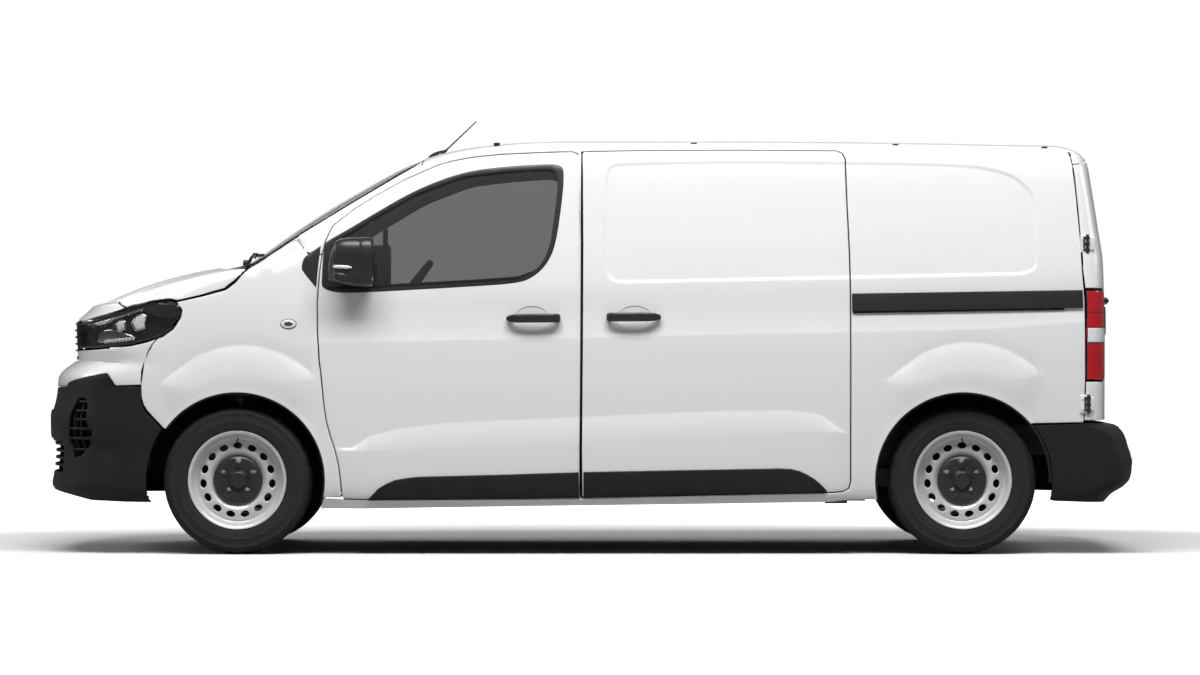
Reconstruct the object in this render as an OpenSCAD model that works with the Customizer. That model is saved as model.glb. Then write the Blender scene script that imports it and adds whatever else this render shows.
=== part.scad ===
// Mid-size panel van: two front doors, a sliding door on each side, two rear
// wing doors, bonnet, steel wheels. Origin on the ground below the middle of
// the overall length. Front is -X, the van's left side is -Y, +Z is up.

/* [Body] */
// Overall width of the body without mirrors
body_w = 1920; // [1880:5:1960]
// Wall depth of the body sides and doors
wall_t = 56; // [45:1:60]
// Depth of the outer skin of a door, which overlaps the jamb
skin_t = 8; // [7:1:10]
// Gap between neighbouring panels
gap = 7; // [5:0.5:8]
// Depth of the roof with its bows
roof_t = 32; // [25:1:45]
// Height of the load floor above the ground
floor_z = 580; // [560:5:600]

/* [Wheels] */
// Distance between the front and rear axle lines
wheelbase = 3275; // [3200:5:3350]
// Distance of the front axle line ahead of the origin
front_axle = 1586.5; // [1560:0.5:1600]
// Height of the axle lines above the ground
axle_z = 335; // [330:1:340]
// Outer diameter of the tyre
tyre_d = 670; // [640:2:676]
// Width of the tyre
tyre_w = 215; // [195:5:225]
// Front track
track_f = 1627; // [1610:1:1640]
// Rear track
track_r = 1600; // [1590:1:1620]
// Radius of the wheel arch openings
arch_r = 397; // [390:1:402]
// Outer diameter of the rim flange
rim_d = 445; // [430:1:450]

/* [Interior] */
// Height of the seat cushions above the ground
seat_z = 930; // [900:5:960]
// Diameter of the steering wheel
wheel_d = 390; // [370:5:400]

/* [Fixings] */
// Radius of the roof rack sockets' bores
rack_r = 4; // [3:0.5:5]
// Radius of the towing socket's bore
tow_r = 8; // [7:0.5:10]

/* [Hidden] */
$fn = 48;

white = [0.93, 0.94, 0.95];
black = [0.07, 0.07, 0.08];
steel = [0.55, 0.56, 0.58];
fx = -front_axle;            // front axle line
rx = wheelbase - front_axle; // rear axle line
sw = body_w / 1920;

// ---- outer surface of the body --------------------------------------------
// Each table gives a measure against the height above the ground.
// Nose line on the centre plane
FRONT = [[200,-2240],[226,-2300],[255,-2400],[283,-2480],[311,-2491],[340,-2484],
  [480,-2472],[508,-2484],[536,-2490],[620,-2491],[650,-2484],[680,-2475],
  [735,-2465],[790,-2461],[818,-2447],[846,-2414],[874,-2378],[900,-2380],
  [1000,-2384],[1040,-2384],[1064,-2362],[1092,-2328],[1126,-2290],[1136,-2250],[1150,-2210],
  [1170,-2160],[1193,-2103],[1212,-2048],[1230,-1992],[1245,-1936],[1260,-1878],
  [1274,-1816],[1286,-1750],[1297,-1684],[1308,-1632],[1320,-1588],[1346,-1543],
  [1412,-1449],[1478,-1355],[1539,-1262],[1597,-1168],[1652,-1074],[1706,-980],
  [1756,-886],[1796,-793],[1826,-700],[1847,-605],[1862,-511],[1872,-418],
  [1879,-300],[1885,-120],[1888,150]];
// Tail line on the centre plane
REAR = [[200,2330],[226,2360],[270,2400],[301,2451],[338,2483],[390,2491],
  [437,2488],[479,2474],[526,2460],[563,2437],[584,2398],[594,2360],[1000,2360],
  [1306,2356],[1490,2334],[1710,2304],[1783,2293],[1810,2284],[1828,2271],
  [1848,2248],[1864,2220],[1876,2188],[1884,2150],[1888,2100]];
// Half width of the body
WID = [[200,905],[226,912],[260,930],[300,940],[400,948],[520,953],[640,957],
  [760,960],[900,960],[1000,957],[1100,950],[1200,938],[1300,922],[1400,903],
  [1500,882],[1600,860],[1700,836],[1760,818],[1800,797],[1828,765],[1852,705],
  [1868,622],[1879,500],[1885,340],[1888,120]];
// Depth of the rounding of the nose in plan
AFT = [[200,560],[850,560],[900,500],[1040,450],[1150,420],[1250,340],[1320,300]];
// Fullness of that rounding
PFT = [[1100,3],[1300,2.6]];
// Depth of the rounding of the tail in plan
ART = [[200,190],[584,190],[594,130]];
// Fall of the roof towards the tail, against length
FALL = [[600,0],[1000,1.5],[1300,4],[1600,9],[1900,15],[2200,20],[2500,24]];

LEVELS = [200,226,255,283,311,390,480,536,620,680,735,790,818,846,874,900,1040,1064,
  1092,1126,1150,1193,1230,1260,1286,1308,1320,1346,1440,1539,1640,1740,1796,1826,1848,
  1864,1879,1888];
// Fewer levels do for the surfaces inside the walls
LEVELS_IN = [200,255,311,390,536,620,790,874,900,1040,1092,1126,1193,1260,1308,1346,
  1539,1740,1796,1826,1848,1864,1888];

function ramp(h) = min(1, max(0, (h - 1300) / 450));
function slim(x) = 1 - 0.012 * pow((x - 200) / 1700, 2);
function half(h, t, NF, NS, NR) = let(
    xn = lookup(h, FRONT) + t, a = lookup(h, AFT), p = lookup(h, PFT),
    xr = lookup(h, REAR) - t, ar = lookup(h, ART),
    w = max(12, lookup(h, WID) * sw - t), xs = xn + a, xe = xr - ar)
  concat(
    [for (i = [0:NF]) let(u = pow(max(0, cos(90 * i / NF)), 2 / p), v = pow(sin(90 * i / NF), 2 / p),
       x = xs - a * u) [x, w * v * slim(x)]],
    [for (i = [1:NS - 1]) let(x = xs + (xe - xs) * i / NS) [x, w * slim(x)]],
    [for (i = [0:NR]) let(v = pow(max(0, cos(90 * i / NR)), 2 / 4), u = pow(sin(90 * i / NR), 2 / 4),
       x = xe + ar * u) [x, w * v * slim(x)]]);
function fall(x, h) = lookup(x, FALL) * ramp(h);

// Solid bounded by the outer surface moved inwards by t
module body_solid(t = 0) {
  fine = t < 12;
  NF = fine ? 8 : 6;         // points round the nose
  NS = fine ? 8 : 5;         // points along the side
  NR = fine ? 5 : 3;         // points round the tail
  levels = fine ? LEVELS : LEVELS_IN;
  m = NF + NS + NR + 1;      // points of one half ring
  n = 2 * m - 2;             // points of a full ring
  rings = [for (h = levels) let(q = half(h, t, NF, NS, NR)) concat(
    [for (i = [0:m - 1]) [q[i][0], -q[i][1], h - t - fall(q[i][0], h)]],
    [for (i = [m - 2:-1:1]) [q[i][0], q[i][1], h - t - fall(q[i][0], h)]])];
  k = len(levels);
  pts = [for (r = rings) for (p = r) p];
  side = [for (j = [0:k - 2]) for (i = [0:n - 1]) let(a = j * n + i, b = j * n + (i + 1) % n)
    each [[a, a + n, b + n], [a, b + n, b]]];
  function mir(i) = (n - i) % n;
  caps = [for (c = [0, 1]) let(o = c * (k - 1) * n) for (i = [0:m - 2])
    let(a = o + i, b = o + i + 1, d = o + mir(i + 1), e = o + mir(i))
    each (c == 0
      ? (i == 0 ? [[a, b, d]] : i == m - 2 ? [[a, b, e]] : [[a, b, d], [a, d, e]])
      : (i == 0 ? [[a, d, b]] : i == m - 2 ? [[a, e, b]] : [[a, d, b], [a, e, d]]))];
  polyhedron(points = pts, faces = concat(side, caps), convexity = 6);
}
module layer(t0, t1) difference() { body_solid(t0); body_solid(t1); }
// Prism of a side-view outline on the left side
module left(poly, d = 0, y0 = 0) translate([0, -y0, 0]) rotate([90, 0, 0]) linear_extrude(1150 - y0) offset(delta = d) polygon(poly);
module both(poly, d = 0) rotate([90, 0, 0]) linear_extrude(2300, center = true) offset(delta = d) polygon(poly);
// Makes a shell of flat facets from its children
module shell() resize([0, 0, 0]) children();

// ---- outlines seen from the side, as [x, z] --------------------------------
DOOR = [[-1109,250],[-1116,335],[-1124,400],[-1140,468],[-1162,535],[-1180,603],
  [-1190,670],[-1203,806],[-1212,873],[-1220,1008],[-1221,1144],[-1211,1279],
  [-1201,1347],[-1187,1415],[-1158,1484],[-1073,1553],[-965,1622],[-843,1690],
  [-690,1758],[-630,1776],[-540,1793],[-403,1808],[-267,1815],[-131,1820],
  [-75,1821],[-52,1812],[-44,1790],[-38,1692],[-36,1374],[-38,967],[-40,697],
  [-42,472],[-42,262]];
DOOR_IN = [[-1085,290],[-1092,400],[-1130,535],[-1158,670],[-1180,873],[-1192,1008],
  [-1193,1144],[-1183,1279],[-1172,1347],[-1155,1405],[-1120,1465],[-1045,1535],
  [-950,1595],[-830,1662],[-680,1730],[-540,1762],[-403,1778],[-267,1786],
  [-125,1789],[-92,1770],[-80,1692],[-62,1374],[-62,967],[-64,472],[-64,290]];
DLO = [[-1176,1214],[-1180,1290],[-1160,1400],[-1130,1420],[-960,1525],[-786,1626],
  [-570,1708],[-357,1734],[-190,1744],[-150,1735],[-138,1700],[-142,1620],
  [-172,1400],[-205,1318],[-250,1276],[-320,1246],[-526,1232],[-960,1208],[-1120,1202]];
SLIDE = [[-28,262],[-28,472],[-26,697],[-24,967],[-22,1374],[-24,1692],[-26,1821],
  [233,1827],[687,1828],[1120,1826],[1148,1815],[1160,1790],[1164,1628],[1175,1355],
  [1178,1152],[1178,330],[1170,300],[1145,287],[502,275]];
LAMP = [[-2300,1049],[-2200,1076],[-2088,1106],[-1971,1137],[-1895,1146],[-1866,1137],
  [-1840,1101],[-1846,1069],[-1878,1018],[-1924,984],[-1992,963],[-2061,947],
  [-2157,935],[-2250,928],[-2400,926],[-2400,1049]];
BONNET = [[-2400,1124],[-2300,1124],[-2200,1137],[-2138,1143],[-2092,1113],[-1975,1144],
  [-1895,1153],[-1862,1146],[-1753,1168],[-1640,1199],[-1600,1232],[-1574,1262],[-1554,1291],
  [-1720,1292],[-1720,1400],[-2400,1400]];
SCUTTLE = [[-1720,1297.5],[-1556,1297],[-1543,1301],[-1600,1319],[-1640,1400],[-1720,1400]];
SCREEN = [[-1640,1420],[-1604,1322],[-1546,1304],[-1500,1333],[-1314,1453],[-1190,1526],[-1009,1636],
  [-800,1760],[-752,1791],[-800,1840],[-1640,1840]];
FBUMP = [[-2600,180],[-2600,918],[-2400,920],[-2250,922],[-2156,929],[-2060,941],[-1991,957],
  [-1946,972],[-1968,949],[-1991,906],[-2009,861],[-2016,803],[-2018,765],[-2008,690],[-1994,645],[-1960,610],[-1900,560],[-1900,180]];
WINGP = [[-2010,765],[-2008,803],[-2001,861],[-1983,906],[-1960,949],[-1936,976],[-1920,978],[-1871,1014],[-1838,1066],
  [-1832,1103],[-1856,1138],[-1753,1161],[-1636,1192],[-1594,1225],[-1566,1258],[-1538,1288],
  [-1440,1362],[-1329,1420],[-1297,1390],[-1269,1356],[-1207,1347],[-1217,1279],[-1227,1144],
  [-1226,1008],[-1218,873],[-1209,806],[-1196,670],[-1186,603],[-1168,535],[-1146,468],
  [-1130,400],[-1122,335],[-1117,204],[-1900,204],[-1900,560],[-1960,616],[-2000,690]];
ARCH_F = [for (a = [0:7.5:180]) [fx + arch_r * cos(a), axle_z + arch_r * sin(a)]];

module arch_cut(x, r, y0 = 0) for (s = [-1, 1]) hull() {
  translate([x, s * (y0 + (1150 - y0) / 2), axle_z]) rotate([90, 0, 0]) cylinder(r = r, h = 1150 - y0, center = true, $fn = 72);
  translate([x, s * (y0 + (1150 - y0) / 2), 0]) cube([2 * r, 1150 - y0, 10], center = true);
}

// ---- shell ------------------------------------------------------------------
module side_panel_left() color(white) shell() difference() {
  union() {
    intersection() {
      layer(0, wall_t);
      left([[-1240,205],[1296,248],[1296,290],[2020,290],[2020,588],[2230,596],[2238,800],
        [2236,1156],[2226,1291],[2220,1427],[2204,1632],[2190,1770],[2184,1850],[2150,1900],
        [-760,1900],[-758,1783],[-800,1752],[-1009,1628],[-1190,1518],[-1322,1440],[-1297,1398],
        [-1269,1364],[-1240,1360]], 0, 640);
    }
    // cant rail under the roof's edge
    intersection() { layer(roof_t + 0.5, 62); translate([-740, -740, 1700]) cube([2900, 100, 200]); }
  }
  // the roof panel lies inboard of this line
  difference() { translate([-1000, -704, 1500]) cube([3600, 1500, 500]); body_solid(roof_t + 0.5); }
  // wing, with the hinge pillar behind it
  difference() { left(WINGP, 0.5); body_solid(32); }
  // front door aperture: outer rebate, then the narrower inner opening
  difference() { left(DOOR, gap, 600); body_solid(24); }
  intersection() { body_solid(23.9); left(DOOR_IN, gap, 600); }
  intersection() { body_solid(23.9);
    left([[-300,1700],[-300,1799],[-92,1799],[-66,1784],[-58,1692],[-50,1374],[-200,1374]], 0, 600); }
  // sliding door aperture
  left(SLIDE, gap, 710);
  arch_cut(rx, arch_r);
  translate([fx, 0, axle_z]) rotate([90, 0, 0]) cylinder(r = arch_r + 26, h = 1150, $fn = 64);
}
module side_panel_right() mirror([0, 1, 0]) side_panel_left();

module roof_panel() color(white) shell() difference() { intersection() {
  layer(0, roof_t);
  translate([-1000, -703.5, 1500]) cube([3280, 1407, 500]);
  both([[-751,1797],[-796,1842],[-796,1900],[2260,1900],[2292,1806],[2300,1790],[2180,1790],[-700,1740]]);
} for (x = RACK) for (s = [-1, 1]) translate([x, s * 640, 1700]) cylinder(r = 15, h = 300, $fn = 32); }

module front_wings() color(white) shell() difference() {
  intersection() { layer(0, 30); both(WINGP); }
  translate([-3000, -700, 0]) cube([3000, 1400, 2000]);
  arch_cut(fx, arch_r);
}

module bonnet() color(white) shell() difference() {
  intersection() { layer(0, 26); both(BONNET); }
  // the rear edge is cut upright along the level line at its height
  translate([0, 0, 1200]) linear_extrude(200) let(q = half(1291.5, 1, 12, 8, 3))
    polygon(concat([for (p = q) [p[0], -p[1]]], [for (i = [len(q) - 1:-1:0]) q[i]]));
}

module windscreen() color([0.25, 0.3, 0.32]) shell() intersection() {
  layer(3, 9);
  both(SCREEN);
}

module front_bumper() color(white) shell() difference() {
  intersection() { layer(0, 38); both(FBUMP); }
  arch_cut(fx, arch_r + 20);
  // room for the upper grille
  translate([-2600, -566, 866]) cube([500, 1132, 200]);
  // way in to the towing socket
  translate([-2600, 300, 560]) rotate([0, 90, 0]) cylinder(r = 26, h = 300, $fn = 24);
  // lower air intake, filled by the grille
  translate([-2600, -480, 350]) cube([400, 960, 100]);
  for (s = [-1, 1]) translate([-2600, s * 760 - 70, 395]) cube([600, 140, 170]);
}

module grille() color(black) shell() union() {
  // upper grille between the headlamps
  difference() {
    intersection() { layer(4, 34); both([[-2450,872.5],[-2450,1119],[-2250,1119],[-2250,872.5]]);
      translate([-2500, -560, 800]) cube([500, 1120, 400]); }
    for (z = [900, 944, 988, 1032]) translate([-2500, -500, z]) cube([400, 1000, 26]);
    for (s = [-1, 1]) translate([-2500, s * 300 - 10, 890]) cube([0.1, 20, 1]);
  }
  // lower grille with three bars
  for (z = [356, 386, 416]) intersection() { layer(10, 34); translate([-2600, -478, z]) cube([400, 956, 20]); }
  intersection() { layer(26, 34); translate([-2600, -478, 352]) cube([400, 956, 96]);
    for (y = [-470:188:470]) translate([-2600, y - 8, 340]) cube([400, 16, 120]); }
}

module headlamps() color([0.75, 0.78, 0.8]) shell() difference() {
  intersection() { layer(2, 70); both(LAMP); }
  translate([-2600, -566, 800]) cube([1000, 1132, 500]);
}

module rear_bumper() color(black) shell() difference() {
  intersection() { layer(0, 60); both([[2024,180],[2024,583],[2232,591],[2600,591],[2600,180]]); }
  arch_cut(rx, arch_r + 4);
}

// ---- tail ---------------------------------------------------------------------
// Side line of the rear doors
REAR_D = [[2235,604],[2244,800],[2242,1156],[2232,1291],[2226,1427],[2210,1632],
  [2197,1765],[2250,1775],[2310,1782],[2600,1782],[2600,604]];
LAMP_R = [[2243,790],[2243,1190],[2600,1190],[2600,790]];
REAR_IN = [[2238,624],[2248,800],[2246,1156],[2238,1291],[2232,1427],[2216,1632],
  [2205,1745],[2250,1752],[2310,1758],[2600,1758],[2600,624]];
module rear_door_left() color(white) shell() union() {
  difference() {
    intersection() { layer(0, skin_t); both(REAR_D); translate([0, -1150, 0]) cube([3000, 1147, 3000]); }
    translate([2150, -1100, 783]) cube([400, 1100 - 802, 414]);
  }
  difference() {
    intersection() { layer(skin_t - 0.1, 46); both(REAR_IN); translate([0, -1150, 0]) cube([3000, 1130, 3000]); }
    translate([2150, -1100, 765]) cube([400, 1100 - 768, 450]);
  }
}
module rear_door_right() mirror([0, 1, 0]) rear_door_left();
module tail_lamp() intersection() {
  layer(1, 56);
  left(LAMP_R, 0);
  translate([2150, 0, 0]) linear_extrude(2000) polygon([[0,-1100],[0,-850],[60,-830],[190,-811],[400,-810],[400,-1100]]);
}
module tail_lamps() color([0.6, 0.05, 0.05]) shell() { tail_lamp(); mirror([0, 1, 0]) tail_lamp(); }

// ---- side doors -----------------------------------------------------------------
module sliding_door_left() color(white) shell() union() {
  intersection() { layer(0, 50); left(SLIDE, 0, 716); }
}
module sliding_door_right() mirror([0, 1, 0]) sliding_door_left();
module sliding_door_rails() color(black) shell() for (s = [0, 1]) mirror([0, s, 0])
  intersection() {
    difference() { body_solid(-7); body_solid(-0.2); }
    left([[1186,1095],[1186,1177],[2205,1193],[2205,1112]]);
  }

module front_door_left() color(white) shell() difference() {
  union() {
    intersection() { layer(0, skin_t); left(DOOR); }
    intersection() { layer(skin_t - 0.1, wall_t); left(DOOR_IN); }
  }
  left(DLO);
}
module front_door_right() mirror([0, 1, 0]) front_door_left();
module door_glass_left() color([0.2, 0.25, 0.27]) shell() intersection() { layer(6, 11); left(DLO, -0.6); }
module door_glass_right() mirror([0, 1, 0]) door_glass_left();

module door_mirror_left() color(white) shell() union() {
  // housing
  hull() for (p = [[-1128,1232],[-1128,1400],[-1090,1428],[-1000,1412],[-985,1240],[-1000,1218],[-1110,1216]])
    for (y = [-1066, -968]) translate([p[0] + (y < -1000 ? 8 : 0), y, p[1] * 0.96 + 52]) sphere(r = 16, $fn = 16);
  hull() for (p = [[-1136,1262],[-1130,1380],[-1030,1400],[-1010,1240]])
    translate([p[0] + 10, -1084, p[1] * 0.96 + 52]) sphere(r = 14, $fn = 16);
  // arm
  hull() { translate([-1110, -944, 1238]) cube([80, 18, 40]); translate([-1100, -985, 1246]) cube([60, 10, 34]); }
}
module door_mirror_right() mirror([0, 1, 0]) door_mirror_left();

module handle_bar(x0, x1, z, y) hull() for (x = [x0, x1]) translate([x, -y, z]) rotate([0, 90, 0]) cylinder(r = 11, h = 1, $fn = 24);
module door_handle_left() color(black) union() {
  handle_bar(-362, -140, 1066, 984);
  for (x = [-356, -152]) translate([x, -980, 1056]) cube([14, 27, 20]);
}
module door_handle_right() mirror([0, 1, 0]) door_handle_left();
module sliding_door_handles() color(black) for (s = [0, 1]) mirror([0, s, 0]) union() {
  handle_bar(88, 316, 1072, 984);
  for (x = [94, 304]) translate([x, -980, 1062]) cube([14, 26, 20]);
}

// ---- structure -------------------------------------------------------------------
module floor_pan() color([0.45, 0.46, 0.48]) union() {
  // load floor and cab floor
  difference() {
    translate([-1180, -868, floor_z - 30]) cube([3370, 1736, 30]);
    for (s = [-1, 1]) translate([rx - 412, s * 765 - 135, 400]) cube([824, 270, 300]);
  }
  // longitudinal rails
  for (s = [-1, 1]) {
    translate([-1180, s * 480 - 40, 440]) cube([3370, 80, 110]);
    translate([-1110, s * 825 - 24, 240]) cube([2360, 48, 310]);
    // jacking pads
    for (x = [-980, 1120]) translate([x - 50, s * 825 - 24, 228]) cube([100, 48, 12]);
    translate([-2300, s * 440 - 35, 500]) cube([1120, 70, 110]);
  }
  // cross members
  for (x = [-1180, -200, 900]) translate([x, -800, 470]) cube([80, 1600, 80]);
  translate([2110, -800, 470]) cube([75, 1600, 80]);
  // front beam with the towing socket
  difference() {
    union() {
      translate([-2340, -520, 480]) cube([50, 1040, 140]);
      translate([-2352, 300, 560]) rotate([0, 90, 0]) cylinder(r = 22, h = 12, $fn = 48);
    }
    translate([-2353, 300, 560]) rotate([0, 90, 0]) cylinder(r = tow_r, h = 48, $fn = 48);
  }
}
module bulkhead() color([0.7, 0.71, 0.72]) translate([60, 0, 0]) rotate([90, 0, 90]) linear_extrude(24)
  difference() {
    polygon([[-860,floor_z],[860,floor_z],[862,1100],[830,1300],[790,1500],[745,1700],[632,1770],[500,1800],
      [-500,1800],[-632,1770],[-745,1700],[-790,1500],[-830,1300],[-862,1100]]);
    translate([-240, 1240]) square([480, 300]);
  }
module firewall() color([0.3, 0.3, 0.32]) translate([0, 850, 0]) rotate([90, 0, 0]) linear_extrude(1700)
  polygon([[-1268,611],[-1268,1160],[-1550,1160],[-1550,1178],[-1248,1178],[-1248,640],[-1130,602],[-1100,580],[-1180,580],[-1180,611]]);
// Cup open towards the wheel: radius r, from y0 at its inner wall to y1
module arch_cup(r, y0, y1, z0, hole) difference() {
  translate([0, -y0, 0]) rotate([90, 0, 0]) cylinder(r = r + 5, h = y1 - y0, $fn = 64);
  translate([0, -y0 - 5, 0]) rotate([90, 0, 0]) cylinder(r = r, h = y1 - y0, $fn = 64);
  translate([-600, -y1 - 10, -1200 + z0]) cube([1200, y1 - y0 + 20, 1200]);
  if (hole) {
    translate([0, -y0 + 5, 0]) rotate([90, 0, 0]) cylinder(r = 300, h = 20, $fn = 64);
    translate([0, -616, 0]) cylinder(r = 88, h = 600, $fn = 32);
  }
}
module wheelhouses() color(black) for (s = [0, 1]) mirror([0, s, 0]) {
  translate([fx, 0, axle_z]) arch_cup(arch_r + 12, 505, 905, 58, true);
  translate([rx, 0, axle_z]) arch_cup(arch_r + 5, 632, 882, 246, false);
}
module engine_block() color([0.35, 0.36, 0.38]) translate([-1950, -355, 420]) cube([560, 710, 560]);
module scuttle_panel() color(black) shell() intersection() {
  layer(4, 26);
  both(SCUTTLE);
}
module wipers() color(black) union() {
  for (s = [-1, 1]) {
    translate([-1545, s * 380 + 180, 1348]) rotate([0, -34, 0]) rotate([0, 0, 84]) translate([-330, -6, 0]) cube([660, 10, 12]);
  }
}
module aerial() color(black) union() {
  translate([-736, 0, 1832]) rotate([0, 69, 0]) cylinder(r1 = 16, r2 = 8, h = 66, $fn = 24);
  translate([-677, 0, 1851]) rotate([0, 46.5, 0]) cylinder(r = 3, h = 206, $fn = 16);
}
module driver_seat() color([0.2, 0.2, 0.22]) translate([-660, -640, 0]) union() {
  translate([40, 40, floor_z]) cube([400, 360, seat_z - 130 - floor_z]);
  translate([0, 0, seat_z - 130]) cube([480, 460, 130]);
  translate([440, 0, seat_z]) rotate([0, 12, 0]) cube([110, 460, 560]);
  translate([560, 110, seat_z + 540]) rotate([0, 12, 0]) cube([80, 240, 200]);
}
module passenger_bench() color([0.2, 0.2, 0.22]) translate([-660, -130, 0]) union() {
  translate([40, 40, floor_z]) cube([400, 740, seat_z - 130 - floor_z]);
  translate([0, 0, seat_z - 130]) cube([480, 820, 130]);
  translate([440, 0, seat_z]) rotate([0, 12, 0]) cube([110, 820, 560]);
  for (y = [90, 490]) translate([560, y, seat_z + 540]) rotate([0, 12, 0]) cube([80, 240, 200]);
}
module dashboard() color([0.15, 0.15, 0.16]) translate([0, 800, 0]) rotate([90, 0, 0]) linear_extrude(1600)
  polygon([[-1246,800],[-1246,1184],[-1480,1184],[-1480,1226],[-1180,1240],[-1020,1220],[-960,1160],[-985,1060],
    [-1080,900],[-1180,800]]);
module steering_wheel() color(black) translate([-850, -410, 1165]) rotate([0, -53, 0]) union() {
  rotate_extrude($fn = 64) translate([wheel_d / 2, 0]) circle(r = 15, $fn = 24);
  cylinder(r = 60, h = 50, center = true, $fn = 32);
  for (a = [90, 210, 330]) rotate([0, 0, a]) translate([50, -14, -6]) cube([wheel_d / 2 - 52, 28, 12]);
  translate([0, 0, -190]) cylinder(r = 24, h = 180, $fn = 32);
}
// ---- running gear --------------------------------------------------------------------
king_y = 738;               // steering axis at the height of the wheel centre
king_a = 13.7;              // its lean
module knuckle_left() color(steel) translate([fx, -king_y, axle_z]) union() {
  rotate([-king_a, 0, 0]) {
    translate([0, 0, -95]) cylinder(r = 34, h = 240, $fn = 32);
    translate([0, 24, 120]) cylinder(r = 25, h = 290, $fn = 32);
    translate([0, 24, 376]) cylinder(r = 64, h = 166, $fn = 32);
  }
  rotate([90, 0, 0]) cylinder(r = 30, h = 92, $fn = 32);
}
module knuckle_right() mirror([0, 1, 0]) knuckle_left();
module front_subframe() color(black) union() {
  translate([fx - 60, -400, 232]) cube([140, 800, 60]);
  translate([fx + 20, -380, 292]) cube([60, 760, 60]);
  for (s = [-1, 1]) {
    translate([fx + 10, 0, 0]) mirror([0, s < 0 ? 0 : 1, 0]) {
      translate([-34, -715, 196]) cube([60, 330, 32]);
      translate([10, -600, 196]) rotate([0, 0, 38]) cube([260, 50, 32]);
    }
    for (x = [fx - 60, fx + 60]) translate([x - 25, s * 385 - 20, 292]) cube([50, 40, 210]);
  }
}
module rear_axle() color(black) union() {
  translate([1330, -560, 300]) cube([90, 1120, 80]);
  for (s = [-1, 1]) mirror([0, s < 0 ? 0 : 1, 0]) {
    translate([1400, -600, 295]) cube([300, 80, 70]);
    translate([rx, -520, axle_z]) rotate([90, 0, 0]) cylinder(r = 32, h = 260, $fn = 32);
    translate([rx + 10, -590, 345]) cylinder(r = 60, h = 130, $fn = 32);
  }
  for (s = [-1, 1]) translate([1340, s * 480 - 30, 379]) cube([70, 60, 61]);
}
module fuel_tank() color(black) translate([-320, -430, 250]) cube([760, 380, 170]);
module exhaust() color([0.4, 0.4, 0.42]) union() {
  translate([-1180, 200, 300]) rotate([0, 90, 0]) cylinder(r = 28, h = 1900, $fn = 24);
  translate([500, 200, 310]) rotate([0, 90, 0]) cylinder(r = 80, h = 640, $fn = 32);
}
RACK = [-420, 480, 1400, 2080];
module roof_sockets() color(black) for (x = RACK) for (s = [-1, 1])
  translate([x, s * 640, 1868 - fall(x, 1868)]) difference() {
    translate([0, 0, -42]) cylinder(r = 14, h = 42, $fn = 32);
    translate([0, 0, -30]) cylinder(r = rack_r, h = 40, $fn = 32);
  }

module tyre(x, y) color(black) translate([x, y, axle_z]) rotate([90, 0, 0]) rotate_extrude($fn = 96)
  polygon([[205,-96],[223.5,-96],[224.5,-104],[262,-107.5],[300,-tyre_w / 2],[tyre_d / 2 - 14,-92],[tyre_d / 2 - 3,-78],[tyre_d / 2,-40],
    [tyre_d / 2,40],[tyre_d / 2 - 3,78],[tyre_d / 2 - 14,92],[300,tyre_w / 2],[262,107.5],[224.5,104],[223.5,96],[205,96],[204.5,0]]);
// Outboard face towards -Y
module steel_wheel(x, y, s) color([0.75, 0.76, 0.77]) translate([x, y, axle_z]) mirror([0, s > 0 ? 1 : 0, 0]) rotate([90, 0, 0]) difference() {
  rotate_extrude($fn = 96) polygon([[204,-97],[rim_d / 2,-97],[rim_d / 2,-109],[206,-106],[196,-90],[190,-60],[184,-20],[182,30],
    [170,36],[150,52],[128,60],[116,52],[108,38],[60,38],[46,44],[44,70],[18,74],[0,76],[0,96],[40,94],[56,88],[62,52],
    [104,52],[112,66],[128,74],[154,66],[176,50],[186,46],[192,80],[206,106],[rim_d / 2,109],[rim_d / 2,97],[204,97],[203.5,0]]);
  for (i = [0:14]) rotate([0, 0, i * 24 + 12]) translate([156, 0, 20]) cylinder(r = 16.5, h = 60, $fn = 24);
}
module tyre_front_left() tyre(fx, -track_f / 2);
module tyre_front_right() tyre(fx, track_f / 2);
module tyre_rear_left() tyre(rx, -track_r / 2);
module tyre_rear_right() tyre(rx, track_r / 2);
module wheel_front_left() steel_wheel(fx, -track_f / 2, -1);
module wheel_front_right() steel_wheel(fx, track_f / 2, 1);
module wheel_rear_left() steel_wheel(rx, -track_r / 2, -1);
module wheel_rear_right() steel_wheel(rx, track_r / 2, 1);

floor_pan();
roof_panel();
side_panel_left();
side_panel_right();
front_wings();
bulkhead();
firewall();
wheelhouses();
engine_block();
front_bumper();
grille();
rear_bumper();
headlamps();
tail_lamps();
windscreen();
scuttle_panel();
wipers();
aerial();
sliding_door_left();
sliding_door_right();
sliding_door_rails();
driver_seat();
passenger_bench();
dashboard();
steering_wheel();
front_subframe();
rear_axle();
exhaust();
fuel_tank();
roof_sockets();
front_door_left();
front_door_right();
door_glass_left();
door_glass_right();
door_mirror_left();
door_mirror_right();
door_handle_left();
door_handle_right();
sliding_door_handles();
rear_door_left();
rear_door_right();
bonnet();
knuckle_left();
knuckle_right();
tyre_front_left();
tyre_front_right();
tyre_rear_left();
tyre_rear_right();
wheel_front_left();
wheel_front_right();
wheel_rear_left();
wheel_rear_right();
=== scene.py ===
import bpy, bmesh, math
import numpy as np
from mathutils import Vector, Matrix
from mathutils.geometry import delaunay_2d_cdt
from mathutils.kdtree import KDTree


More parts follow.
